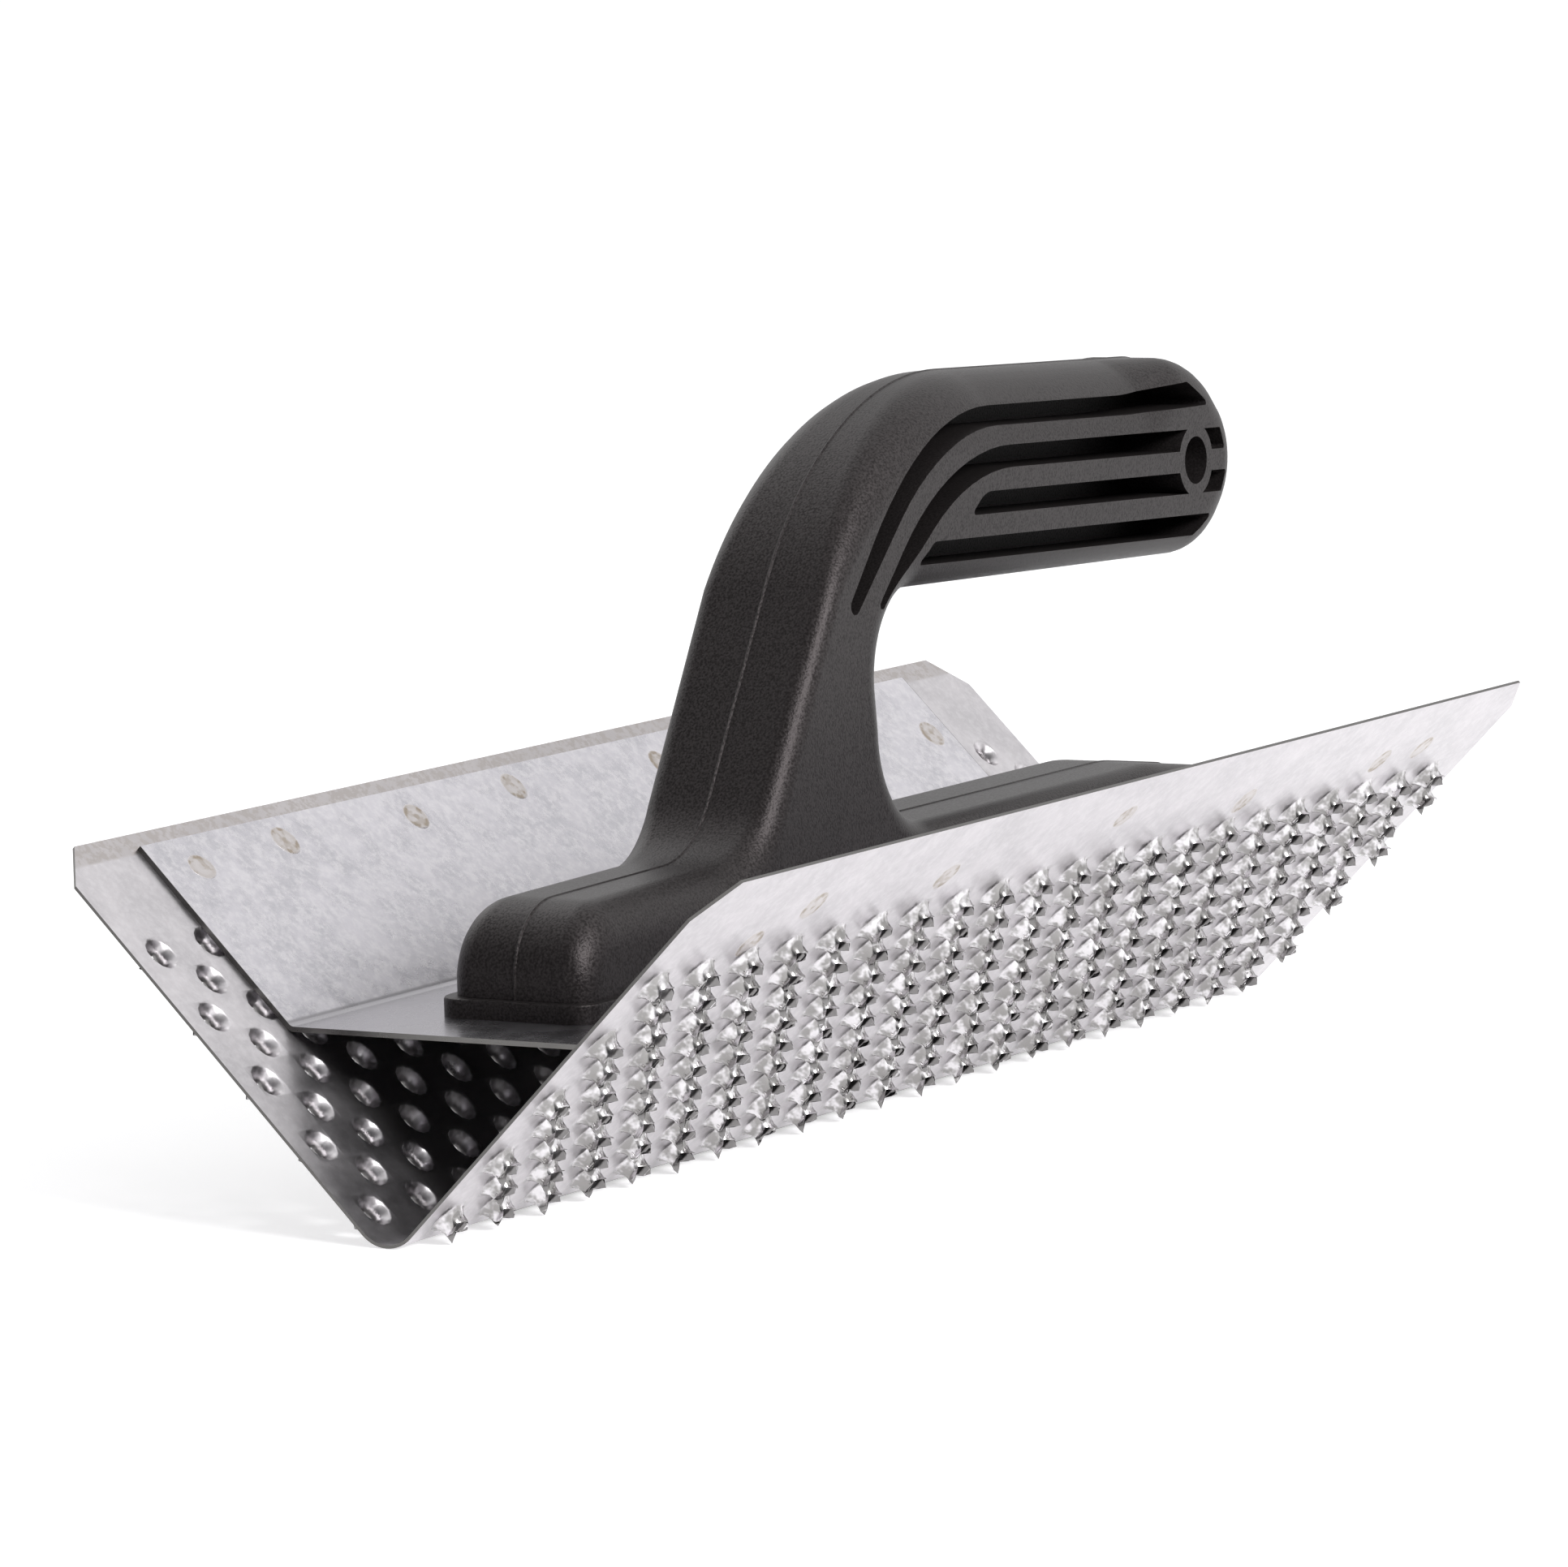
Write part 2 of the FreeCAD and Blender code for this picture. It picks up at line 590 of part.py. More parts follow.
def add_rim(body):
    """The foot's rim, which sits on the web."""
    sketch = new_sketch(body, "XY_Plane", "rim_outline", WEB_TOP)
    front = handle_x("-rim_margin")
    rear = handle_x(FOOT_LENGTH + " + rim_margin")
    corners = [(front, "-rim_width / 2"), (rear, "-rim_width / 2"),
               (rear, "rim_width / 2"), (front, "rim_width / 2")]
    add_outline(sketch, corners, "rim")
    rim = pad(body, sketch, "rim_pad", "rim_height", False)
    upright = FreeCAD.Vector(0, 0, 1)
    points = [FreeCAD.Vector(number(x), number(y), 0) for x, y in corners]
    edges = edges_along(rim.Shape, upright, points)
    dress(body, "Fillet", "rim_corners", rim, edges, "Radius", "rim_corner")


def cut_slots(body):
    """Four slots in one face, mirrored to the other, with the web between them left."""
    sketch = new_sketch(body, "XZ_Plane", "slot_outlines", "slot_web / 2")
    rounded = []
    for place, (name, slot) in enumerate(SLOTS):
        outline, bends, corners = slot(name, "first_slot_depth + %d * slot_pitch" % place)
        add_outline(sketch, outline, name, bends)
        rounded += corners
    cut = pocket(body, sketch, "slot_cuts", "handle_width / 2", reversed_side=True)
    mirror = body.newObject("PartDesign::Mirrored", "slot_mirror")
    mirror.Originals = [cut]
    mirror.MirrorPlane = (plane_of(body, "XZ_Plane"), [""])
    body.Tip = mirror
    doc.recompute()
    base = mirror
    for place, (corner, radius) in enumerate(rounded):
        base = fillet_along(body, "slot_rounding_%d" % place, base, ACROSS, [corner], radius)


def add_hang_hole(body):
    """The ring that crosses the slots, and the hole through it."""
    centre = (handle_x("hang_hole_run"), handle_z("grip_height - hang_hole_drop"))
    ring = new_sketch(body, "XZ_Plane", "ring_outline")
    add_circle(ring, centre, "ring_diameter / 2", "ring")
    pad(body, ring, "ring_pad", "handle_width", True)
    hole = new_sketch(body, "XZ_Plane", "hang_hole_outline")
    add_circle(hole, centre, "hang_hole_diameter / 2", "hang_hole")
    pocket(body, hole, "hang_hole_cut", "2 * handle_width", midplane=True)


# Foot screws: heads under the web, shanks up into the foot.
def make_screws():
    body = new_body("foot_screws")
    sketch = new_sketch(body, "XZ_Plane", "screw_section")
    seat = WEB_UNDERSIDE
    head = FIRST_SCREW + " + screw_head_diameter / 2"
    shank = FIRST_SCREW + " + screw_diameter / 2"
    low = "(%s - screw_head_height)" % seat
    high = "(%s + screw_length)" % seat
    outline = [(FIRST_SCREW, low), (head, low), (head, seat), (shank, seat), (shank, high),
               (FIRST_SCREW, high)]
    add_outline(sketch, outline, "screw")
    turn = body.newObject("PartDesign::Revolution", "screw_turn")
    turn.Profile = sketch
    turn.ReferenceAxis = (sketch, ["Edge%d" % len(outline)])
    turn.Angle = 360
    doc.recompute()
    pattern_along(body, "screws", turn)
    return body


def check(pieces):
    """Stops if an object failed or a piece is not whole."""
    for item in doc.Objects:
        if "Invalid" in item.State or "Error" in item.State:
            raise RuntimeError("%s failed: %s" % (item.Label, item.State))
    for piece in pieces:
        if piece.Shape.isNull() or not piece.Shape.isValid() or not piece.Shape.Solids:
            raise RuntimeError(piece.Label + " is not a valid solid")


def main():
    blank = make_blank()
    pieces = [make_rasp_plate(blank), make_carrier(), make_handle(), make_screws()]
    doc.recompute()
    check([blank] + pieces)
    os.makedirs("parts", exist_ok=True)
    for piece in pieces:
        piece.Shape.exportStep("parts/%s.step" % piece.Label)
        box = piece.Shape.BoundBox
        print("%s: %d solids, %.1f mm3, x %.2f..%.2f y %.2f..%.2f z %.2f..%.2f"
              % (piece.Label, len(piece.Shape.Solids), piece.Shape.Volume, box.XMin, box.XMax,
                 box.YMin, box.YMax, box.ZMin, box.ZMax))


main()
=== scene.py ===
import sys

import json
import logging
import math
import random
from collections.abc import Sequence
from dataclasses import dataclass, field
from enum import Enum

import bmesh
import bpy
from bmesh.types import BMesh, BMVert
from bpy.types import Material, Mesh, Node, NodeSocket, NodeTree, Object
from mathutils import Matrix, Vector

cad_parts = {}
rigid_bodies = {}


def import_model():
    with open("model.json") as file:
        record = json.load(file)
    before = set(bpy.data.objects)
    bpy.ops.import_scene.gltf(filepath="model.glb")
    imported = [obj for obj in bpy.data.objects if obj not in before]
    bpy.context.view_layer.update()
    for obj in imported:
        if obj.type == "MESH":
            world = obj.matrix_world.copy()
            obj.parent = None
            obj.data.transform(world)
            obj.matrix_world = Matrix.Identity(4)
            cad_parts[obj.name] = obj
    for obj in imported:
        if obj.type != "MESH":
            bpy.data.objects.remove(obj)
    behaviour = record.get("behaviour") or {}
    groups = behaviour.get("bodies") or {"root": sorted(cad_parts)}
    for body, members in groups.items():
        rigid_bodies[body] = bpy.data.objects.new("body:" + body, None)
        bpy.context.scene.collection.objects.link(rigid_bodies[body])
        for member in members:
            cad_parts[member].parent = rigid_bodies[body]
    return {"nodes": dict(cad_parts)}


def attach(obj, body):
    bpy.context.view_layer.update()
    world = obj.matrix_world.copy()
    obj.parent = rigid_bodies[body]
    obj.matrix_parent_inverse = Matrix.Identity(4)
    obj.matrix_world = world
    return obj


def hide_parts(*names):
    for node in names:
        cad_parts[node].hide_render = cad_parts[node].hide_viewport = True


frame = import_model()

# A folded and punched steel sheet, its carrier channel and a moulded handle, dressed for the studio.
# Lengths are in metres and in the part's own frame, but where a docstring says millimetres.
MM = 0.001
HALF = math.radians(45)
SHARP_EDGE = -2.404 * MM
WEB_TOP = 28.796 * MM
PLATE_FRONT = -140 * MM
HEEL = PLATE_FRONT + 37.8 * MM
STRAIGHT = math.radians(0.2)
ARC_STEP = math.radians(5)

log = logging.getLogger("foam_rasp")


class Side(Enum):
    """The two walls of the V, by the sign of their Y."""

    NEAR = -1
    FAR = 1

    @property
    def up(self) -> Vector:
        """Unit vector up the wall."""
        return Vector((0, self.value * math.sin(HALF), math.cos(HALF)))

    @property
    def out(self) -> Vector:
        """Unit vector out of the V."""
        return Vector((0, self.value * math.cos(HALF), -math.sin(HALF)))

    def point(self, x: float, slant: float, height: float) -> Vector:
        """Places a point on or beside the wall.

        Args:
            x: place along the fold.
            slant: distance up the outer face from the sharp edge.
            height: distance out of the outer face, negative towards the inside.

        Returns:
            The point in the part's frame.
        """
        return Vector((x, 0, SHARP_EDGE)) + self.up * slant + self.out * height


class Solve(Enum):
    """How one solid works on another."""

    CUT = "DIFFERENCE"
    JOIN = "UNION"


# Node trees


class Wiring:
    """Adds nodes to a tree and wires them up."""

    def __init__(self, tree: NodeTree) -> None:
        """Keeps the tree that is built."""
        self.tree = tree

    def feed(self, node: Node, feeds: dict) -> None:
        """Sets or links a node's inputs.

        Args:
            node: the node that is fed.
            feeds: socket name or index to a value or another node's output.
        """
        for key, value in feeds.items():
            socket = node.inputs[key]
            if isinstance(value, NodeSocket):
                self.tree.links.new(value, socket)
            else:
                socket.default_value = value

    def node(self, kind: str, feeds: dict | None = None, **settings: object) -> Node:
        """Adds a node.

        Args:
            kind: the node's type name.
            feeds: its inputs, as feed takes them.
            settings: the node's own properties.

        Returns:
            The new node.
        """
        made = self.tree.nodes.new(kind)
        for name, value in settings.items():
            setattr(made, name, value)
        self.feed(made, feeds or {})
        return made

    def maths(self, operation: str, first: object, second: object = 0.0) -> NodeSocket:
        """Adds a Math node and gives its result."""
        return self.node("ShaderNodeMath", {0: first, 1: second}, operation=operation).outputs[0]

    def times(self, first: object, second: object) -> NodeSocket:
        """Multiplies two values."""
        return self.maths("MULTIPLY", first, second)

    def plus(self, first: object, second: object) -> NodeSocket:
        """Adds two values."""
        return self.maths("ADD", first, second)

    def ramp(self, factor: NodeSocket, low: float, high: float, to_low: float = 0.0,
             to_high: float = 1.0) -> NodeSocket:
        """Maps a range of a value smoothly onto another and gives the result."""
        return self.node("ShaderNodeMapRange", {0: factor, 1: low, 2: high, 3: to_low, 4: to_high},
                         interpolation_type="SMOOTHSTEP").outputs[0]

    def mix(self, factor: object, first: object, second: object) -> NodeSocket:
        """Adds a colour mix and gives its result."""
        return self.node("ShaderNodeMix", {0: factor, 6: first, 7: second}, data_type="RGBA").outputs[2]

    def noise(self, place: NodeSocket, scale: float, detail: float, rough: float = 0.5) -> NodeSocket:
        """Adds a noise and gives its value."""
        return self.node("ShaderNodeTexNoise", {"Vector": place, "Scale": scale, "Detail": detail,
                                                "Roughness": rough}).outputs[0]

    def bump(self, strength: float, distance: float, height: NodeSocket) -> NodeSocket:
        """Adds a Bump node and gives its normal."""
        return self.node("ShaderNodeBump", {"Strength": strength, "Distance": distance,
                                            "Height": height}).outputs[0]

    def along(self, place: NodeSocket, axis: tuple) -> NodeSocket:
        """Measures how far a place lies along an axis."""
        made = self.node("ShaderNodeVectorMath", {0: place, 1: axis}, operation="DOT_PRODUCT")
        return made.outputs["Value"]

    def mask(self, name: str) -> NodeSocket:
        """Reads one of the mesh's own masks."""
        return self.node("ShaderNodeAttribute", attribute_name=name).outputs["Fac"]

    def place(self) -> NodeSocket:
        """Reads the place on the object."""
        return self.node("ShaderNodeTexCoord").outputs["Object"]


def new_group(name: str, kind: str, inputs: Sequence[tuple], outputs: Sequence[tuple]) -> tuple:
    """Starts a node group.

    Args:
        name: the group's name.
        kind: "ShaderNodeTree" or "GeometryNodeTree".
        inputs: (name, kind of socket, starting value or None) of each input.
        outputs: (name, kind of socket) of each output.

    Returns:
        (the group's wiring, its inputs' sockets, its Group Output node).
    """
    tree = bpy.data.node_groups.new(name, kind)
    for title, socket, value in inputs:
        made = tree.interface.new_socket(title, in_out="INPUT", socket_type="NodeSocket" + socket)
        if value is not None:
            made.default_value = value
    for title, socket in outputs:
        tree.interface.new_socket(title, in_out="OUTPUT", socket_type="NodeSocket" + socket)
    wire = Wiring(tree)
    return wire, wire.node("NodeGroupInput").outputs, wire.node("NodeGroupOutput")


def sheet_surface() -> NodeTree:
    """Builds the group for zinc-coated sheet: clouds, fine specks, smears and drawing lines.

    Returns:
        A shader group with a Lines input, and Clouds, Specks, Smears and Height outputs.
    """
    wire, size, put = new_group("sheet_surface", "ShaderNodeTree", [("Lines", "Float", 0.3)],
                                [(name, "Float") for name in ("Clouds", "Specks", "Smears", "Height")])
    place = wire.place()
    stretched = wire.node("ShaderNodeMapping", {"Vector": place, "Scale": (0.03, 1.0, 1.0)}).outputs[0]
    specks = wire.ramp(wire.noise(place, 650, 3, 0.7), 0.38, 0.7)
    lines = wire.times(wire.noise(stretched, 1500, 2, 0.6), size["Lines"])
    wire.feed(put, {"Clouds": wire.ramp(wire.noise(place, 120, 5, 0.65), 0.3, 0.7), "Specks": specks,
                    "Smears": wire.ramp(wire.noise(place, 480, 2, 0.6), 0.42, 0.66),
                    "Height": wire.plus(wire.times(specks, 0.5), lines)})
    return wire.tree


# Finishes


def new_material(name: str) -> tuple:
    """Starts a material.

    Args:
        name: the material's name.

    Returns:
        (the material, the wiring of its tree, its Principled shader).
    """
    made = bpy.data.materials.new(name)
    made.use_nodes = True
    made.node_tree.nodes.clear()
    wire = Wiring(made.node_tree)
    shader = wire.node("ShaderNodeBsdfPrincipled")
    wire.node("ShaderNodeOutputMaterial", {0: shader.outputs[0]})
    return made, wire, shader


@dataclass(frozen=True)
class SheetSteel:
    """Zinc-coated sheet steel, satin where it is flat and bright where a punch drew it, with painted shade in
    the tunnel or under a level.
    """

    name: str
    pale: tuple = (0.64, 0.615, 0.635, 1)
    dull: tuple = (0.53, 0.51, 0.53, 1)
    worn: tuple = (0.80, 0.78, 0.80, 1)
    torn: tuple = (0.33, 0.32, 0.315, 1)
    # Colour of the painted shade in the tunnel or under a level.
    painted_shade: tuple = (0.24, 0.23, 0.23, 1)
    cut: tuple = (0.16, 0.155, 0.15, 1)
    stain: tuple = (0.42, 0.385, 0.37, 1)
    satin: float = 0.33
    bright: float = 0.14
    uneven: float = 0.08
    lines: float = 0.3
    specks: float = 0.3
    ends: float = 1.0
    stained_from: float = 1.0
    stain_fade: float = 0.5 * MM
    top_line: tuple = (2.6 * MM, 2.9 * MM)
    shaded_under: float = -1.0
    shade_fade: float = 0.4 * MM
    tunnel: bool = False
    tunnel_ends: tuple = (122 * MM, 112 * MM)
    inner: tuple = (0.3 * MM, 0.6 * MM)
    relief: tuple = (0.12, 0.06 * MM)

    def make(self, surface: NodeTree) -> Material:
        """Builds the material.

        Args:
            surface: the shared group for zinc-coated sheet.

        Returns:
            The material, which also reads the mesh's own "drawn" and "cut" masks; "cut" holds the cut edges
            and the painted shade round each crown's hole.
        """
        made, wire, shader = new_material(self.name)
        coat = wire.node("ShaderNodeGroup", {"Lines": self.lines}, node_tree=surface).outputs
        parts = wire.node("ShaderNodeSeparateXYZ", {0: wire.place()}).outputs
        drawn = wire.mask("drawn")
        sawn = wire.maths("GREATER_THAN", wire.maths("ABSOLUTE", parts[0]), self.ends)
        edge = wire.maths("MAXIMUM", wire.mask("cut"), sawn)
        high = wire.ramp(parts[2], self.stained_from, self.stained_from + self.stain_fade)
        top = wire.ramp(parts[2], *(self.stained_from + level for level in self.top_line))
        high = wire.maths("MAXIMUM", wire.times(high, self.inside(wire, parts)), top)
        stained = wire.times(high, wire.ramp(coat["Specks"], 0.0, 0.7, 0.4, 0.85))
        base = wire.mix(coat["Clouds"], self.dull, self.pale)
        base = wire.mix(wire.times(coat["Specks"], self.specks), base, self.worn)
        # Painted shade: the shade mask darkens the steel in the tunnel or under a level.
        base = wire.mix(self.shade(wire, parts), base, self.painted_shade)
        base = wire.mix(drawn, base, wire.mix(coat["Smears"], self.torn, self.worn))
        # The "cut" colour goes on the cut edges and, as painted shade, round each crown's hole on the inner
        # face.
        base = wire.mix(edge, wire.mix(stained, base, self.stain), self.cut)
        rough = wire.node("ShaderNodeMix", {0: drawn, 2: self.satin, 3: self.bright}).outputs[0]
        rough = wire.plus(rough, wire.times(coat["Clouds"], self.uneven))
        wire.feed(shader, {"Base Color": base, "Roughness": rough, "Metallic": 1.0,
                           "Normal": wire.bump(*self.relief, coat["Height"])})
        return made

    def shade(self, wire: Wiring, parts: Sequence[NodeSocket]) -> NodeSocket:
        """Builds the mask of painted shade on the tunnel's inner faces, or on all that lies under a level.

        Args:
            wire: the material's wiring.
            parts: the place's X, Y and Z.

        Returns:
            The mask.
        """
        low = wire.ramp(parts[2], self.shaded_under + self.shade_fade, self.shaded_under)
        if not self.tunnel:
            return low
        within = wire.ramp(wire.maths("ABSOLUTE", parts[0]), *self.tunnel_ends)
        return wire.times(wire.times(self.inside(wire, parts), within), low)

    def inside(self, wire: Wiring, parts: Sequence[NodeSocket]) -> NodeSocket:
        """Builds the mask for the V's inner faces from the place's X, Y and Z."""
        rise = wire.maths("SUBTRACT", parts[2], SHARP_EDGE)
        depth = wire.maths("SUBTRACT", rise, wire.maths("ABSOLUTE", parts[1]))
        return wire.ramp(depth, *self.inner)


@dataclass(frozen=True)
class WeldTint:
    """The tan smudge that a spot weld leaves on the sheet."""

    name: str = "spot_weld"
    steel: tuple = (0.68, 0.655, 0.67, 1)
    tan: tuple = (0.31, 0.25, 0.185, 1)
    rough: float = 0.34
    relief: tuple = (0.35, 0.1 * MM)

    def make(self, surface: NodeTree) -> Material:
        """Builds the material, which reads the mark's own "burnt" mask."""
        made, wire, shader = new_material(self.name)
        coat = wire.node("ShaderNodeGroup", node_tree=surface).outputs
        patchy = wire.times(wire.mask("burnt"), wire.ramp(coat["Smears"], 0.0, 0.8, 0.4, 1.0))
        wire.feed(shader, {"Base Color": wire.mix(patchy, self.steel, self.tan), "Metallic": 1.0,
                           "Roughness": self.rough, "Normal": wire.bump(*self.relief, coat["Specks"])})
        return made


@dataclass(frozen=True)
class BlackPlastic:
    """Black moulded plastic with a spark-eroded grain, soft, broken highlights and painted shade on the
    slots' floors.
    """

    name: str = "handle_plastic"
    dark: tuple = (0.0085, 0.0074, 0.0074, 1)
    light: tuple = (0.016, 0.014, 0.014, 1)
    # Near black for the painted shade on the slots' floors.
    slot_shade_colour: tuple = (0.002, 0.0018, 0.0018, 1)
    sheen: tuple = (1.0, 0.90, 0.91, 1)
    grain: tuple = (0.3, 0.7)
    rough: tuple = (0.36, 0.52)
    gloss: tuple = (0.13, 0.5)
    gloss_in_slot_shade: float = 0.25
    relief: tuple = (0.6, 0.12 * MM)

    def make(self) -> Material:
        """Builds the material, which also reads the mesh's own mask of painted shade on the slots' floors."""
        made, wire, shader = new_material(self.name)
        place, deep = wire.place(), wire.mask("deep")
        grain, patches = wire.noise(place, 2600, 2), wire.noise(place, 45, 4)
        # Painted shade: the slots' floors go near black and lose gloss.
        base = wire.mix(deep, wire.mix(patches, self.dark, self.light), self.slot_shade_colour)
        gloss = wire.times(wire.ramp(grain, *self.grain, *self.gloss),
                           wire.ramp(deep, 0.0, 1.0, 1.0, self.gloss_in_slot_shade))
        height = wire.plus(grain, wire.times(patches, 0.6))
        wire.feed(shader, {"Base Color": base, "Roughness": wire.ramp(grain, *self.grain, *self.rough),
                           "Specular IOR Level": gloss, "Specular Tint": self.sheen,
                           "Normal": wire.bump(*self.relief, height)})
        return made


# Mesh helpers


def show(mesh: Mesh) -> Object:
    """Puts a mesh into the scene as an object of its name at the origin."""
    made = bpy.data.objects.new(mesh.name, mesh)
    bpy.context.scene.collection.objects.link(made)
    return made


def settle(piece: Object) -> None:
    """Turns a piece's modifiers into plain mesh."""
    graph = bpy.context.evaluated_depsgraph_get()
    mesh = bpy.data.meshes.new_from_object(piece.evaluated_get(graph), depsgraph=graph)
    old = piece.data
    piece.modifiers.clear()
    piece.data = mesh
    bpy.data.meshes.remove(old)
    mesh.name = piece.name


def grow(piece: Object, wire: Wiring, values: dict) -> None:
    """Runs a geometry tree on a piece and keeps the result as plain mesh.

    Args:
        piece: the object that the tree works on.
        wire: the tree's wiring.
        values: what the tree's named inputs are set to.
    """
    step = piece.modifiers.new(wire.tree.name, "NODES")
    step.node_group = wire.tree
    for item in wire.tree.interface.items_tree:
        if item.item_type == "SOCKET" and item.in_out == "INPUT" and item.name in values:
            step[item.identifier] = values[item.name]
    settle(piece)


def finish_mesh(work: BMesh, name: str, crease: float = math.radians(32)) -> Mesh:
    """Smooths a work mesh, keeps its sharp edges and frees it.

    Args:
        work: the mesh in hand.
        name: the new mesh's name.
        crease: angle from which an edge stays sharp.

    Returns:
        The finished mesh.
    """
    for face in work.faces:
        face.smooth = True
    for edge in work.edges:
        if len(edge.link_faces) == 2 and edge.calc_face_angle() > crease:
            edge.smooth = False
    mesh = bpy.data.meshes.new(name)
    work.to_mesh(mesh)
    work.free()
    return mesh


def bridge(work: BMesh, loops: Sequence[list], closed: bool = True, flip: bool = False) -> None:
    """Joins each loop of points to the next with four-sided faces.

    Args:
        work: the mesh in hand.
        loops: the loops, each with as many points as the others.
        closed: whether the last point of each loop meets its first.
        flip: whether the faces point the other way.
    """
    for low, high in zip(loops, loops[1:]):
        for k in range(len(low) if closed else len(low) - 1):
            after = (k + 1) % len(low)
            quad = [low[k], low[after], high[after], high[k]]
            work.faces.new(quad[::-1] if flip else quad)


def shell(work: BMesh, loops: Sequence[list]) -> None:
    """Joins closed loops of points and shuts both ends."""
    bridge(work, loops)
    work.faces.new(loops[0][::-1])
    work.faces.new(loops[-1])


def weigh_normals(piece: Object) -> None:
    """Lets the large flat faces lead the shading, and settles the piece."""
    weigh = piece.modifiers.new("flat_faces_lead", "WEIGHTED_NORMAL")
    weigh.mode = "FACE_AREA"
    weigh.weight = 80
    weigh.keep_sharp = True
    settle(piece)


def solve(target: Object, tool: Object, how: Solve) -> None:
    """Cuts a tool out of a target, or joins it on, and removes the tool.

    Args:
        target: the solid that stays.
        tool: the solid that is used up.
        how: cut or join.
    """
    step = target.modifiers.new(how.name.lower(), "BOOLEAN")
    step.object = tool
    step.operation = how.value
    step.solver = "EXACT"
    settle(target)
    mesh = tool.data
    bpy.data.objects.remove(tool)
    bpy.data.meshes.remove(mesh)


@dataclass(frozen=True)
class Corner:
    """One corner of an outline, with how soft the edge is where its arc starts and ends."""

    x: float
    z: float
    radius: float = 0.0
    soft: float = 0.0
    soft_after: float = 0.0

    @property
    def spot(self) -> Vector:
        """The sharp corner's own place."""
        return Vector((self.x, self.z))


def rounded(corners: Sequence[Corner], step: float) -> list[tuple]:
    """Rounds a closed outline's corners and divides its straight runs.

    Args:
        corners: the outline's corners, in order.
        step: longest run between two points.

    Returns:
        (x, z, softness) of each point of the outline.
    """
    total = len(corners)
    arcs = []
    for place, corner in enumerate(corners):
        here, radius = corner.spot, corner.radius
        back = (corners[place - 1].spot - here).normalized()
        ahead = (corners[(place + 1) % total].spot - here).normalized()
        if radius <= 0 or back.angle(-ahead) < STRAIGHT:
            arcs.append([(here, corner.soft)])
            continue
        opening = back.angle(ahead)
        reach = radius / math.tan(opening / 2)
        centre = here + (back + ahead).normalized() * (radius / math.sin(opening / 2))
        first, last = here + back * reach - centre, here + ahead * reach - centre
        turn = first.angle(last)
        sign = 1 if first.x * last.y - first.y * last.x > 0 else -1
        pieces = max(3, math.ceil(turn / ARC_STEP), math.ceil(turn * radius / step))
        arc = []
        for part in range(pieces + 1):
            share = part / pieces
            soft = corner.soft + (corner.soft_after - corner.soft) * share
            arc.append((centre + Matrix.Rotation(sign * turn * share, 2) @ first, soft))
        arcs.append(arc)
    points = []
    for place, arc in enumerate(arcs):
        points += arc
        start, soft = arc[-1]
        end, next_soft = arcs[(place + 1) % total][0]
        pieces = math.ceil((end - start).length / step)
        for part in range(1, pieces):
            share = part / pieces
            points.append((start.lerp(end, share), soft + (next_soft - soft) * share))
    return [(point.x, point.y, soft) for point, soft in points]


# Rasp sheet


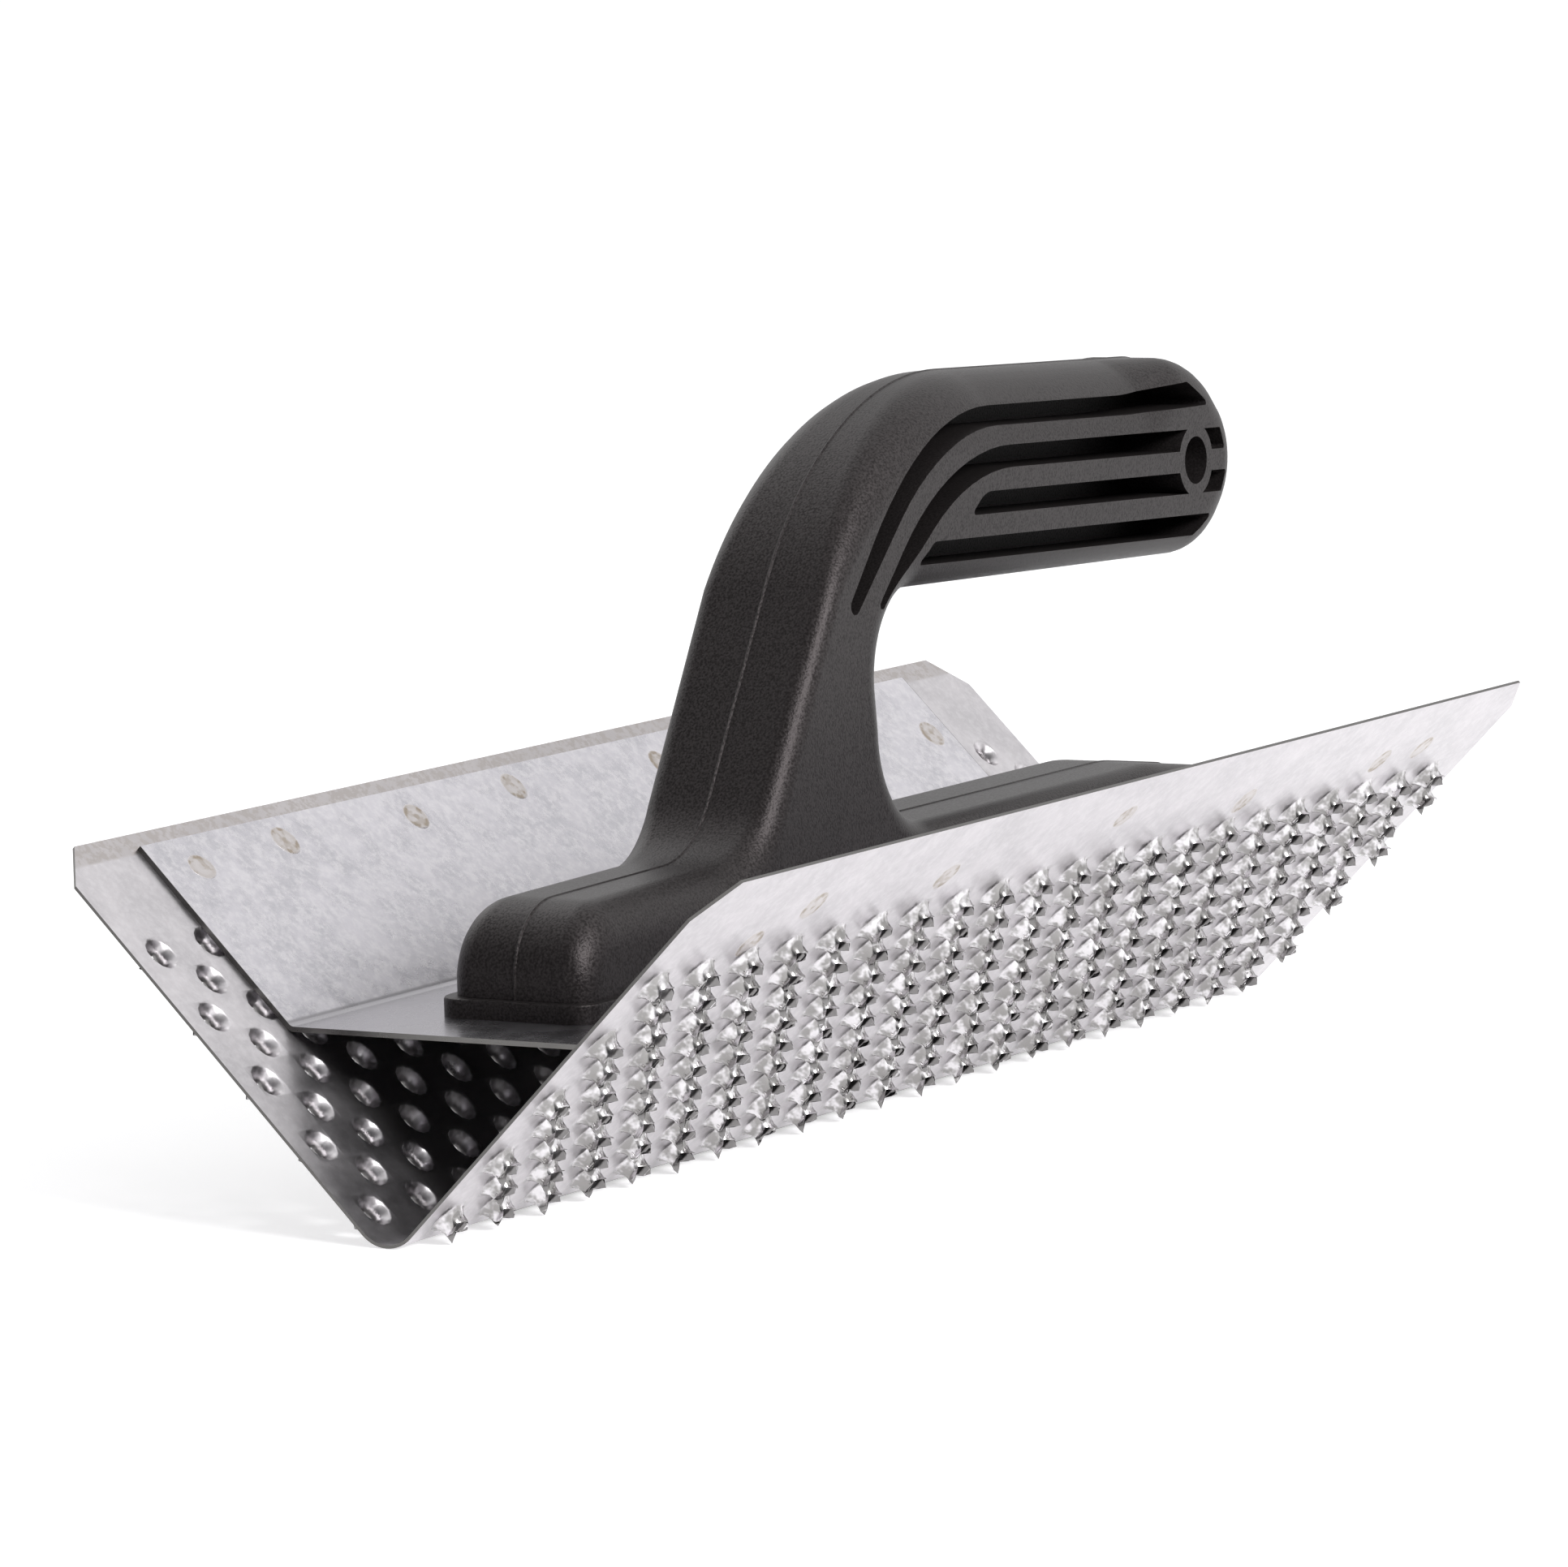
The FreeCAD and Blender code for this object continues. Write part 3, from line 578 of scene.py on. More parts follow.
@dataclass
class RaspSheet:
    """The punched sheet, folded to a V, with a torn crown round every hole.

    Attributes:
        cell: side of the square cells, of which every other one holds a crown.
        kinds: how many different crowns there are.
        funnels: rings of a crown's outer and inner funnel as (radius, height, how drawn), in millimetres.
        necks: where the petals start outside and inside: (radius at a petal's middle, radius at its ends,
            height), in millimetres.
        waver: how unevenly the funnel is torn, in millimetres.
        petals: least and most reach, height, lean and half width of a petal, in millimetres.
        knee: where a petal bends, as shares of its reach, its rise and its lean.
        inner_knee: how far the inner face's knee lies back and down, in millimetres.
        inner_tip: how far its tip lies back, and how far the outer face's tip lies down, in millimetres.
        inner_mask: how much less torn a crown is inside, and how strong the painted shade round its hole is
            there.
    """

    steel: Material
    length: float = 280 * MM
    slant: float = 83.3 * MM
    thickness: float = 0.5 * MM
    bend: float = 6.05 * MM
    bend_parts: int = 14
    corner_cut: float = 7 * MM
    cell: float = 6.5 * MM
    rows: int = 9
    columns: int = 42
    kinds: int = 10
    seed: int = 7
    merged_within: float = 0.01 * MM
    funnels: tuple = (((3.2, 0.0, 0.25), (2.72, 0.3, 0.9), (2.14, 1.12, 1.0)),
                      ((3.15, -0.5, 0.25), (2.84, -0.25, 0.9), (2.12, 0.5, 1.0)))
    necks: tuple = ((1.6, 2.0, 2.1), (1.36, 1.72, 1.86))
    waver: float = 0.06
    petals: tuple = ((1.9, 2.5), (2.75, 3.4), (-0.45, 0.45), (0.55, 0.95))
    knee: tuple = (0.42, 0.56, 0.3)
    inner_knee: tuple = (0.06, 0.02)
    inner_tip: tuple = (0.07, 0.04)
    inner_mask: tuple = (0.7, 0.8)
    tool_marks: random.Random = field(default_factory=lambda: random.Random(41))

    @property
    def first_cell(self) -> float:
        """X at which the punched field starts."""
        return -self.cell * self.columns / 2

    def stations(self) -> list[tuple]:
        """Lists the places across the sheet: (side or None, slant or bend angle)."""
        slants = [self.bend + self.cell * row for row in range(self.rows + 1)]
        slants.append(self.slant - self.corner_cut)
        walls = {side: [(side, slant) for slant in slants] for side in Side}
        bends = [(None, HALF * (2 * part / self.bend_parts - 1)) for part in range(1, self.bend_parts)]
        return walls[Side.NEAR][::-1] + bends + walls[Side.FAR]

    def place(self, station: tuple, x: float, depth: float) -> Vector:
        """Finds the point of a station at a place along the fold and a depth in the sheet."""
        side, value = station
        if side is not None:
            return side.point(x, value, -depth)
        radius = self.bend - depth
        centre = SHARP_EDGE + self.bend * math.sqrt(2)
        return Vector((x, radius * math.sin(value), centre - radius * math.cos(value)))

    def blank(self) -> Mesh:
        """Builds both faces and the cut edges of the sheet, with an open cell for every crown.

        Returns:
            The mesh, with "cut" on its cut edges.
        """
        work = bmesh.new()
        cut = work.loops.layers.float.new("cut")
        stations = self.stations()
        end = self.length / 2
        xs = [-end] + [self.first_cell + self.cell * k for k in range(self.columns + 1)] + [end]
        grid: dict[tuple, BMVert] = {}
        for face, depth in enumerate((0.0, self.thickness)):
            for s, station in enumerate(stations):
                for k, x in enumerate(xs):
                    grid[s, k, face] = work.verts.new(self.place(station, x, depth))
            for s in range(len(stations) - 1):
                for k in range(len(xs) - 1):
                    if not self.is_crown(stations, s, k):
                        loop = [grid[s, k, face], grid[s + 1, k, face], grid[s + 1, k + 1, face],
                                grid[s, k + 1, face]]
                        work.faces.new(loop[::-1] if face else loop)
            self.top_strips(work, grid, stations, len(xs), face, depth)
        outline = self.outline(grid, stations, len(xs))
        for (a, b), (c, d) in zip(outline, outline[1:] + outline[:1]):
            rim = work.faces.new((a, b, d, c))
            for loop in rim.loops:
                loop[cut] = 1.0
        work.normal_update()
        return finish_mesh(work, "rasp_sheet")

    def is_crown(self, stations: list[tuple], s: int, k: int) -> bool:
        """Tells whether the cell after a station and a column holds a crown."""
        first, second = stations[s], stations[s + 1]
        if first[0] is None or first[0] is not second[0]:
            return False
        row = round((min(first[1], second[1]) - self.bend) / self.cell)
        column = k - 1
        return row < self.rows and 0 <= column < self.columns and (row + column) % 2 == 0

    def top_strips(self, work: BMesh, grid: dict, stations: list[tuple], count: int, face: int,
                   depth: float) -> None:
        """Adds the strips between the cut corners to one face of the sheet."""
        end = self.length / 2 - self.corner_cut
        for s, side in ((0, Side.NEAR), (len(stations) - 1, Side.FAR)):
            for key, x in (("left", -end), ("right", end)):
                grid[side, key, face] = work.verts.new(side.point(x, self.slant, -depth))
            low = [grid[s, k, face] for k in range(count)]
            loop = low + [grid[side, "right", face], grid[side, "left", face]]
            flip = (side is Side.FAR) != bool(face)
            work.faces.new(loop[::-1] if flip else loop)

    def outline(self, grid: dict, stations: list[tuple], count: int) -> list[tuple]:
        """Lists the pairs of outer and inner points round the sheet's edge, in order."""
        last = len(stations) - 1
        keys = [(s, 0) for s in range(last + 1)] + [(Side.FAR, "left"), (Side.FAR, "right")]
        keys += [(s, count - 1) for s in range(last, -1, -1)] + [(Side.NEAR, "right"), (Side.NEAR, "left")]
        return [(grid[key + (0,)], grid[key + (1,)]) for key in keys]

    def crown(self, number: int) -> Mesh:
        """Builds one punched cell: a funnel that ends in four torn, flared petals.

        Args:
            number: which of the kinds this is.

        Returns:
            The mesh of both faces of the cell, with "drawn" where the punch drew it and "cut" as painted
            shade round its hole inside.
        """
        work = bmesh.new()
        drawn, mouth_shade = (work.verts.layers.float.new(name) for name in ("drawn", "cut"))
        half = self.cell / 2 / MM
        turns = [math.radians(45 + 30 * k) for k in range(12)]
        sway = self.tool_marks.uniform
        spread = [sway(-self.waver, self.waver) for _ in turns]
        petals = [[sway(*span) for span in self.petals] for _ in range(4)]
        knee_reach, knee_rise, knee_lean = self.knee
        made = []
        for face in (0, 1):
            def vert(x: float, y: float, z: float, mask: float) -> BMVert:
                """Adds a point given in millimetres."""
                point = work.verts.new((x * MM, y * MM, z * MM))
                point[drawn] = mask * (1 - self.inner_mask[0] * face)
                # Painted shade: the inner face round the crown's hole darkens through the "cut" mask.
                point[mouth_shade] = self.inner_mask[1] * face * (z > 1)
                return point

            flat = -self.thickness / MM * face
            square = [vert(sx * half, sy * half, flat, 0.0)
                      for sx, sy in ((1, 1), (-1, 1), (-1, -1), (1, -1))]
            loops = [[vert(r * math.cos(t), r * math.sin(t), z, mask) for t in turns]
                     for r, z, mask in self.funnels[face]]
            side, corner, level = self.necks[face]
            neck = []
            for k, t in enumerate(turns):
                radius = (corner if k % 3 == 0 else side / math.cos(math.radians(15))) + spread[k]
                neck.append(vert(radius * math.cos(t), radius * math.sin(t), level + spread[k - 3], 1.0))
            loops.append(neck)
            tips = []
            for k, (reach, top, lean, width) in enumerate(petals):
                facing = Matrix.Rotation(math.radians(90 + 90 * k), 2)

                def at(forward: float, across: float, z: float) -> BMVert:
                    """Adds a point of this petal."""
                    spot = facing @ Vector((forward, across))
                    return vert(spot.x, spot.y, z, 1.0)

                middle = side + (reach - side) * knee_reach - self.inner_knee[0] * face
                rise = level + (top - self.necks[0][2]) * knee_rise - self.inner_knee[1] * face
                tip = at(reach - self.inner_tip[0] * face, lean, top - self.inner_tip[1] * (1 - face))
                tips.append((at(middle, lean * knee_lean - width, rise),
                             at(middle, lean * knee_lean + width, rise), tip))
            made.append((square, loops, tips))
            self.skin(work, made[face], face)
        for k in range(4):
            for edge in self.tears(made, k):
                work.faces.new(edge)
        return finish_mesh(work, f"crown_{number}", math.radians(48))

    @staticmethod
    def skin(work: BMesh, parts: tuple, face: int) -> None:
        """Adds the faces of one side of a crown: the flat, the funnel and the petals."""
        square, loops, tips = parts

        def add(*loop: BMVert) -> None:
            """Adds a face that points out of the sheet on this side."""
            work.faces.new(loop[::-1] if face else loop)

        for k in range(4):
            add(square[k], square[(k + 1) % 4], *(loops[0][(3 * k + j) % 12] for j in range(3, -1, -1)))
        bridge(work, loops, flip=bool(face))
        for k, (left, right, tip) in enumerate(tips):
            a, b, c, d = (loops[-1][(3 * k + j) % 12] for j in range(4))
            add(a, b, left)
            add(b, c, right, left)
            add(c, d, right)
            add(left, right, tip)

    @staticmethod
    def tears(sides: list[tuple], k: int) -> list[tuple]:
        """Lists the torn edges of one petal as loops of points."""
        paths = []
        for _, loops, tips in sides:
            left, right, tip = tips[k]
            paths.append([loops[-1][3 * k % 12], left, tip, right, loops[-1][(3 * k + 3) % 12]])
        outer, inner = paths
        return [(a, b, d, c) for a, b, c, d in zip(outer, outer[1:], inner, inner[1:])]

    def punching(self) -> Wiring:
        """Builds the geometry tree that sets a crown in every open cell of the blank.

        Returns:
            The tree's wiring; the tree has named inputs for the sheet's sizes.
        """
        wire, size, put = new_group(
            "punching", "GeometryNodeTree",
            [("Blank", "Geometry", None), ("Crowns", "Collection", None), ("Cell", "Float", 0.0),
             ("Rows", "Int", 1), ("Teeth", "Int", 1), ("First Tooth", "Float", 0.0),
             ("First Row", "Float", 0.0), ("Sharp Edge", "Float", 0.0), ("Half Angle", "Float", 0.0),
             ("Seed", "Int", 0), ("Steel", "Material", None)], [("Sheet", "Geometry")])
        wire.tree.is_modifier = True
        wall_count = wire.times(size["Rows"], size["Teeth"])
        index = wire.node("GeometryNodeInputIndex").outputs[0]
        wall = wire.maths("FLOOR", wire.maths("DIVIDE", wire.plus(index, 0.5), wall_count))
        sign = wire.maths("SUBTRACT", wire.times(wall, 2.0), 1.0)
        within = wire.maths("SUBTRACT", index, wire.times(wall, wall_count))
        row = wire.maths("FLOOR", wire.maths("DIVIDE", wire.plus(within, 0.5), size["Teeth"]))
        tooth = wire.maths("SUBTRACT", within, wire.times(row, size["Teeth"]))
        cells = wire.plus(wire.times(tooth, 2.0), wire.maths("MODULO", row, 2.0))
        x = wire.plus(size["First Tooth"], wire.times(cells, size["Cell"]))
        slant = wire.plus(size["First Row"], wire.times(row, size["Cell"]))
        y = wire.times(slant, wire.times(sign, wire.maths("SINE", size["Half Angle"])))
        rise = wire.times(slant, wire.maths("COSINE", size["Half Angle"]))
        spot = wire.node("ShaderNodeCombineXYZ", {0: x, 1: y, 2: wire.plus(rise, size["Sharp Edge"])})
        points = wire.node("GeometryNodePoints", {0: wire.times(wall_count, 2.0), 1: spot.outputs[0]})
        tilt = wire.plus(math.pi, wire.times(sign, size["Half Angle"]))
        euler = wire.node("ShaderNodeCombineXYZ", {0: tilt}).outputs[0]
        facing = wire.node("FunctionNodeEulerToRotation", {0: euler}).outputs[0]
        quarter = wire.node("FunctionNodeRandomValue", {4: 0, 5: 3, 8: size["Seed"]}, data_type="INT")
        crowns = wire.node("GeometryNodeCollectionInfo", {0: size["Crowns"], 1: True, 2: True})
        later = wire.plus(size["Seed"], 1.0)
        kind = wire.node("FunctionNodeRandomValue", {4: 0, 5: self.kinds - 1, 8: later}, data_type="INT")
        placed = wire.node("GeometryNodeInstanceOnPoints", {
            "Points": points.outputs[0], "Instance": crowns.outputs[0], "Pick Instance": True,
            "Instance Index": kind.outputs[2],
            "Rotation": spun(wire, facing, wire.times(quarter.outputs[2], math.pi / 2))})
        real = wire.node("GeometryNodeRealizeInstances", {0: placed.outputs[0]}).outputs[0]
        both = wire.node("GeometryNodeJoinGeometry", {0: real})
        wire.feed(both, {0: size["Blank"]})
        merged = wire.node("GeometryNodeMergeByDistance", {"Geometry": both.outputs[0],
                                                           "Distance": self.merged_within}).outputs[0]
        dressed = wire.node("GeometryNodeSetMaterial", {"Geometry": merged, "Material": size["Steel"]})
        wire.feed(put, {0: dressed.outputs[0]})
        return wire

    def build(self) -> Object:
        """Builds the whole sheet.

        Returns:
            The sheet, which stands for the CAD plate.
        """
        store = bpy.data.collections.new("crown_kinds")
        for number in range(self.kinds):
            store.objects.link(bpy.data.objects.new(f"crown_{number}", self.crown(number)))
        sheet = show(self.blank())
        half_cell = self.cell / 2
        grow(sheet, self.punching(), {
            "Crowns": store, "Cell": self.cell, "Rows": self.rows, "Teeth": self.columns // 2,
            "First Tooth": self.first_cell + half_cell, "First Row": self.bend + half_cell,
            "Sharp Edge": SHARP_EDGE, "Half Angle": HALF, "Seed": self.seed, "Steel": self.steel})
        weigh_normals(sheet)
        for made in list(store.objects):
            bpy.data.objects.remove(made)
        bpy.data.collections.remove(store)
        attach(sheet, "root")
        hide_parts("rasp_plate")
        return sheet


def spun(wire: Wiring, facing: NodeSocket, turn: NodeSocket) -> NodeSocket:
    """Turns an instance about its own upright axis.

    Args:
        wire: the tree's wiring.
        facing: the way that the instance faces.
        turn: the angle.

    Returns:
        The instance's whole rotation.
    """
    spin = wire.node("FunctionNodeAxisAngleToRotation", {0: (0, 0, 1), 1: turn}).outputs[0]
    return wire.node("FunctionNodeRotateRotation", {0: facing, 1: spin}, rotation_space="LOCAL").outputs[0]


# Spot welds


@dataclass
class SpotWelds:
    """The marks of the spot welds that hold the channel in the V, on both faces of each pair of sheets.

    Attributes:
        places: (distance from the plate's front end, slant) of each side's welds, in millimetres.
        profile: rings of a mark as (share of its radius, height in millimetres, how tanned).
        depth: thickness of the two sheets together.
    """

    tint: Material
    radius: float = 2.6 * MM
    places: dict = field(default_factory=lambda: {
        Side.NEAR: ((29.9, 65.4), (41.7, 71.5), (84.7, 69.7), (139.0, 73.4), (187.8, 68.3), (237.3, 69.4),
                    (252.6, 70.2)),
        Side.FAR: ((30.7, 74.2), (55.3, 75.5), (92.1, 74.5), (123.4, 76.0), (168.0, 74.0), (212.0, 73.0),
                   (253.4, 67.4))})
    profile: tuple = ((1.14, -0.03, 0.0), (1.08, 0.012, 0.3), (1.0, 0.04, 0.8), (0.84, 0.03, 0.9),
                      (0.66, 0.02, 0.6), (0.34, 0.03, 0.5), (0.2, 0.035, 0.7))
    points: int = 20
    depth: float = 1.3 * MM
    seed: int = 3

    def mark(self) -> Mesh:
        """Builds one mark: a shallow pressed dish in a faint raised ring, with "burnt" where it is tanned."""
        work = bmesh.new()
        burnt = work.verts.layers.float.new("burnt")
        loops = []
        for share, height, mask in self.profile:
            loop = []
            for k in range(self.points):
                turn = 2 * math.pi * k / self.points
                loop.append(work.verts.new((share * self.radius * math.cos(turn),
                                            share * self.radius * math.sin(turn), height * MM)))
                loop[-1][burnt] = mask
            loops.append(loop)
        shell(work, loops)
        return finish_mesh(work, "weld_mark", math.radians(60))

    def spots(self) -> Mesh:
        """Builds a mesh of one point for each mark, with the way that it faces as an attribute."""
        points, facings = [], []
        for side, places in self.places.items():
            for x, slant in places:
                for height, way in ((0.0, 1), (-self.depth, -1)):
                    points.append(side.point(PLATE_FRONT + x * MM, slant * MM, height))
                    facings.extend(side.out * way)
        mesh = bpy.data.meshes.new("spot_weld_marks")
        mesh.from_pydata(points, [], [])
        mesh.attributes.new("facing", "FLOAT_VECTOR", "POINT").data.foreach_set("vector", facings)
        return mesh

    def spotting(self) -> Wiring:
        """Builds the geometry tree that lays a mark at every place.

        Returns:
            The tree's wiring; the tree has named inputs.
        """
        wire, size, put = new_group(
            "spotting", "GeometryNodeTree",
            [("Places", "Geometry", None), ("Mark", "Object", None), ("Least Width", "Float", 0.85),
             ("Most Width", "Float", 1.1), ("Seed", "Int", 0), ("Tint", "Material", None)],
            [("Marks", "Geometry")])
        wire.tree.is_modifier = True
        way = wire.node("GeometryNodeInputNamedAttribute", {0: "facing"}, data_type="FLOAT_VECTOR")
        aimed = wire.node("FunctionNodeAlignRotationToVector", {"Vector": way.outputs[0]}, axis="Z")
        turn = wire.node("FunctionNodeRandomValue", {2: 0.0, 3: 2 * math.pi, 8: size["Seed"]},
                         data_type="FLOAT")
        across = wire.node("FunctionNodeRandomValue", {2: size["Least Width"], 3: size["Most Width"],
                                                       8: wire.plus(size["Seed"], 1.0)}, data_type="FLOAT")
        shape = wire.node("ShaderNodeCombineXYZ", {0: across.outputs[1], 1: 1.0, 2: 1.0}).outputs[0]
        mark = wire.node("GeometryNodeObjectInfo", {0: size["Mark"]})
        placed = wire.node("GeometryNodeInstanceOnPoints", {
            "Points": size["Places"], "Instance": mark.outputs["Geometry"],
            "Rotation": spun(wire, aimed.outputs[0], turn.outputs[1]), "Scale": shape}).outputs[0]
        real = wire.node("GeometryNodeRealizeInstances", {0: placed}).outputs[0]
        dressed = wire.node("GeometryNodeSetMaterial", {"Geometry": real, "Material": size["Tint"]})
        wire.feed(put, {0: dressed.outputs[0]})
        return wire

    def build(self) -> Object:
        """Builds the marks and returns them as one object."""
        mark = bpy.data.objects.new("weld_mark", self.mark())
        marks = show(self.spots())
        grow(marks, self.spotting(), {"Mark": mark, "Seed": self.seed, "Tint": self.tint})
        bpy.data.objects.remove(mark)
        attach(marks, "root")
        return marks


# Handle


@dataclass(frozen=True)
class SlotEdge:
    """One long edge of a bent slot, up the stem and along the grip, in millimetres and degrees.

    Attributes:
        foot: run of its lower end.
        slope: how steeply it climbs the stem.
        bend: radius between stem and grip.
        depth: how far under the grip's top it runs.
        far: run of its far end.
        far_depth: how far under the grip's top that end lies.
    """

    foot: float
    slope: float
    bend: float
    depth: float
    far: float
    far_depth: float


@dataclass
class Handle:
    """The moulded handle: foot with a rim, leaning stem and a slotted grip with a hang hole.

    Its sizes are in millimetres: a run is measured from the heel and a height from the web.

    Attributes:
        web: half of the wall that is left between the slots of both faces.
        base: where the solid ends below, before it is cut off at the web.
        plain: softness of the foot's edges.
        softness: inset and drop of the rounded edge, at softness 0 and added at softness 1.
        ridge: how far the parting line stands out, and half its width.
        bent_slots: the two edges of each bent slot and the radius of its lower end.
        flare: run and radius where the bent slots start to open.
        straight_slots: (depth under the grip's top, run, radius, far run above, far run below).
        rim_round: inset and drop of the rim's soft upper edge.
        slot_shade_reach: how far from the slots' floors the mask of painted shade reaches, inwards and
            outwards.
    """

    plastic: Material
    half_width: float = 12.5
    web: float = 1.5
    droop: float = math.radians(2.46)
    grip_top: float = 90.2
    grip_corner: float = 98.1
    grip_depth: tuple = (33.8, 34.6)
    throat: float = 95.2
    nose: float = 221.4
    nose_heights: tuple = (73.9, 61.6)
    stem_foot: tuple = (53.7, 17.9)
    heel_height: float = 17.2
    foot_height: float = 17.1
    foot_length: float = 218.7
    toe_height: float = 13.4
    base: float = -20.0
    cut_margin: tuple = (9.0, 6.0)
    outline_step: float = 2.2
    plain: float = 0.15
    softness: tuple = ((3.2, 3.2), (11.8, 8.8))
    ridge: tuple = (0.2, 0.3)
    side_points: int = 9
    bent_slots: tuple = (
        (SlotEdge(82.4, 48.8, 54, 5.7, 204, 4.1), SlotEdge(86.2, 42.6, 48, 9.0, 210.7, 8.2), 1.4),
        (SlotEdge(92.6, 44.1, 50, 12.25, 214.3, 12.25), SlotEdge(95.3, 34.3, 46, 15.95, 215.9, 15.95), 0.7))
    slot_foot: float = 53.4
    flare: tuple = (183, 60)
    straight_slots: tuple = ((19.6, 124.6, 7.0, 216.5, 214.5), (26.95, 107.1, 2.5, 211.1, 205.5))
    slot_width: float = 3.7
    slot_taper: float = 5.0
    stop_radius: float = 0.5
    slot_step: float = 4.0
    slot_reach: float = 16.0
    through: float = 20.0
    hole: tuple = (204.9, 68.0)
    ring_radius: float = 6.2
    hole_radius: float = 4.1
    circle_points: int = 48
    rim_margin: float = 1.6
    rim_half: float = 13.8
    rim_height: float = 3.0
    rim_corner: float = 4.5
    rim_step: float = 6.0
    rim_round: tuple = ((0.0, 0.4), (0.12, 0.12), (0.4, 0.0))
    edge_bevel: float = 0.35
    slot_shade_reach: tuple = (0.1, 0.4)

    @staticmethod
    def spot(run: float, height: float, across: float) -> tuple:
        """Turns a run, a height over the web and a Y in millimetres into the part's frame."""
        return (HEEL + run * MM, across * MM, WEB_TOP + height * MM)

    def hung(self, run: float, depth: float, *rest: float) -> Corner:
        """Gives a corner that lies a depth under the grip's sloping top."""
        top = self.grip_top - (run - self.grip_corner) * math.tan(self.droop)
        return Corner(run, top - depth, *rest)

    def outline(self) -> list[tuple]:
        """Lists the points of the handle's outline as (run, height, softness)."""
        plain = (self.plain, self.plain)
        corners = (
            Corner(0, self.base, 9, *plain), Corner(0, self.heel_height, 11.5, self.plain, 0.35),
            Corner(*self.stem_foot, 17, 0.35, 0.08), Corner(self.grip_corner, self.grip_top, 64, 0, 0.96),
            self.hung(189, 0, 0, 1), self.hung(209.4, 0, 20, 0.45, 0.3),
            Corner(self.nose, self.nose_heights[0], 13.2, 0.3, 0.25),
            Corner(self.nose, self.nose_heights[1], 13.6, 0.25, 0.3),
            self.hung(210.8, self.grip_depth[0], 16, 0.3, 0.4),
            self.hung(self.throat, self.grip_depth[1], 14, 0.35, 0.25),
            Corner(self.throat, self.foot_height, 17, *plain), Corner(191, self.foot_height, 40, *plain),
            Corner(self.foot_length, self.toe_height, 8, *plain),
            Corner(self.foot_length, self.base, 9, *plain))
        return rounded(corners, self.outline_step)

    def section(self, soft: float) -> list[tuple]:
        """Lists half of the section across an edge as (inset from the outline, distance from the middle)."""
        inset, drop = (least + more * soft for least, more in zip(*self.softness))
        points = [(-self.ridge[0], 0.0), (0.0, self.ridge[1])]
        for part in range(self.side_points + 1):
            turn = math.pi / 2 * part / self.side_points
            points.append((inset * (1 - math.cos(turn)), self.half_width - drop * (1 - math.sin(turn))))
        return points

    def body(self) -> Object:
        """Builds the handle's solid body with its soft edges and its parting line."""
        work = bmesh.new()
        outline = self.outline()
        total = len(outline)
        rings: list[list] = []
        for place, (run, height, soft) in enumerate(outline):
            back = Vector(outline[place - 1][:2])
            ahead = Vector(outline[(place + 1) % total][:2])
            along = (ahead - back).normalized()
            inward = Vector((along.y, -along.x))
            half = self.section(soft)
            strip = []
            for sign, points in ((-1, half[::-1]), (1, half[1:])):
                for inset, across in points:
                    spot = Vector((run, height)) + inward * inset
                    strip.append(work.verts.new(self.spot(spot.x, spot.y, sign * across)))
            rings.append(strip)
        bridge(work, [*rings, rings[0]], closed=False)
        work.faces.new([strip[0] for strip in rings])
        work.faces.new([strip[-1] for strip in reversed(rings)])
        bmesh.ops.recalc_face_normals(work, faces=work.faces)
        return show(finish_mesh(work, "handle_moulding"))

    def prism(self, outline: Sequence[tuple], low: float, high: float, name: str) -> Object:
        """Builds an upright-sided solid from an outline.

        Args:
            outline: (run, height) of its points.
            low: Y of one end.
            high: Y of the other end.
            name: the object's name.

        Returns:
            The solid.
        """
        work = bmesh.new()
        shell(work, [[work.verts.new(self.spot(point[0], point[1], y)) for point in outline]
                     for y in (low, high)])
        bmesh.ops.recalc_face_normals(work, faces=work.faces)
        return show(finish_mesh(work, name))

    def slots(self) -> list[list]:
        """Lists the corners of each of the four slots of one face, from the grip's top down."""
        made = []
        flat = math.tan(self.droop)
        for *edges, end_radius in self.bent_slots:
            lines = []
            for edge in edges:
                steep = math.tan(math.radians(edge.slope))
                climb = self.grip_top - self.slot_foot + self.grip_corner * flat - edge.depth
                run = (edge.foot + climb / steep) / (1 + flat / steep)
                lines.append([Corner(edge.foot, self.slot_foot, end_radius),
                              self.hung(run, edge.depth, edge.bend),
                              self.hung(self.flare[0], edge.depth, self.flare[1]),
                              self.hung(edge.far, edge.far_depth, self.stop_radius)])
            made.append(lines[0] + lines[1][::-1])
        for depth, run, radius, far_top, far_low in self.straight_slots:
            low = depth + self.slot_width
            made.append([self.hung(run, low, self.stop_radius),
                         self.hung(run + self.slot_taper, depth, radius),
                         self.hung(far_top, depth, self.stop_radius),
                         self.hung(far_low, low, self.stop_radius)])
        return made

    def circle(self, radius: float) -> list[tuple]:
        """Lists a circle round the hang hole's centre."""
        turns = [2 * math.pi * k / self.circle_points for k in range(self.circle_points)]
        return [(self.hole[0] + radius * math.cos(turn), self.hole[1] + radius * math.sin(turn))
                for turn in turns]

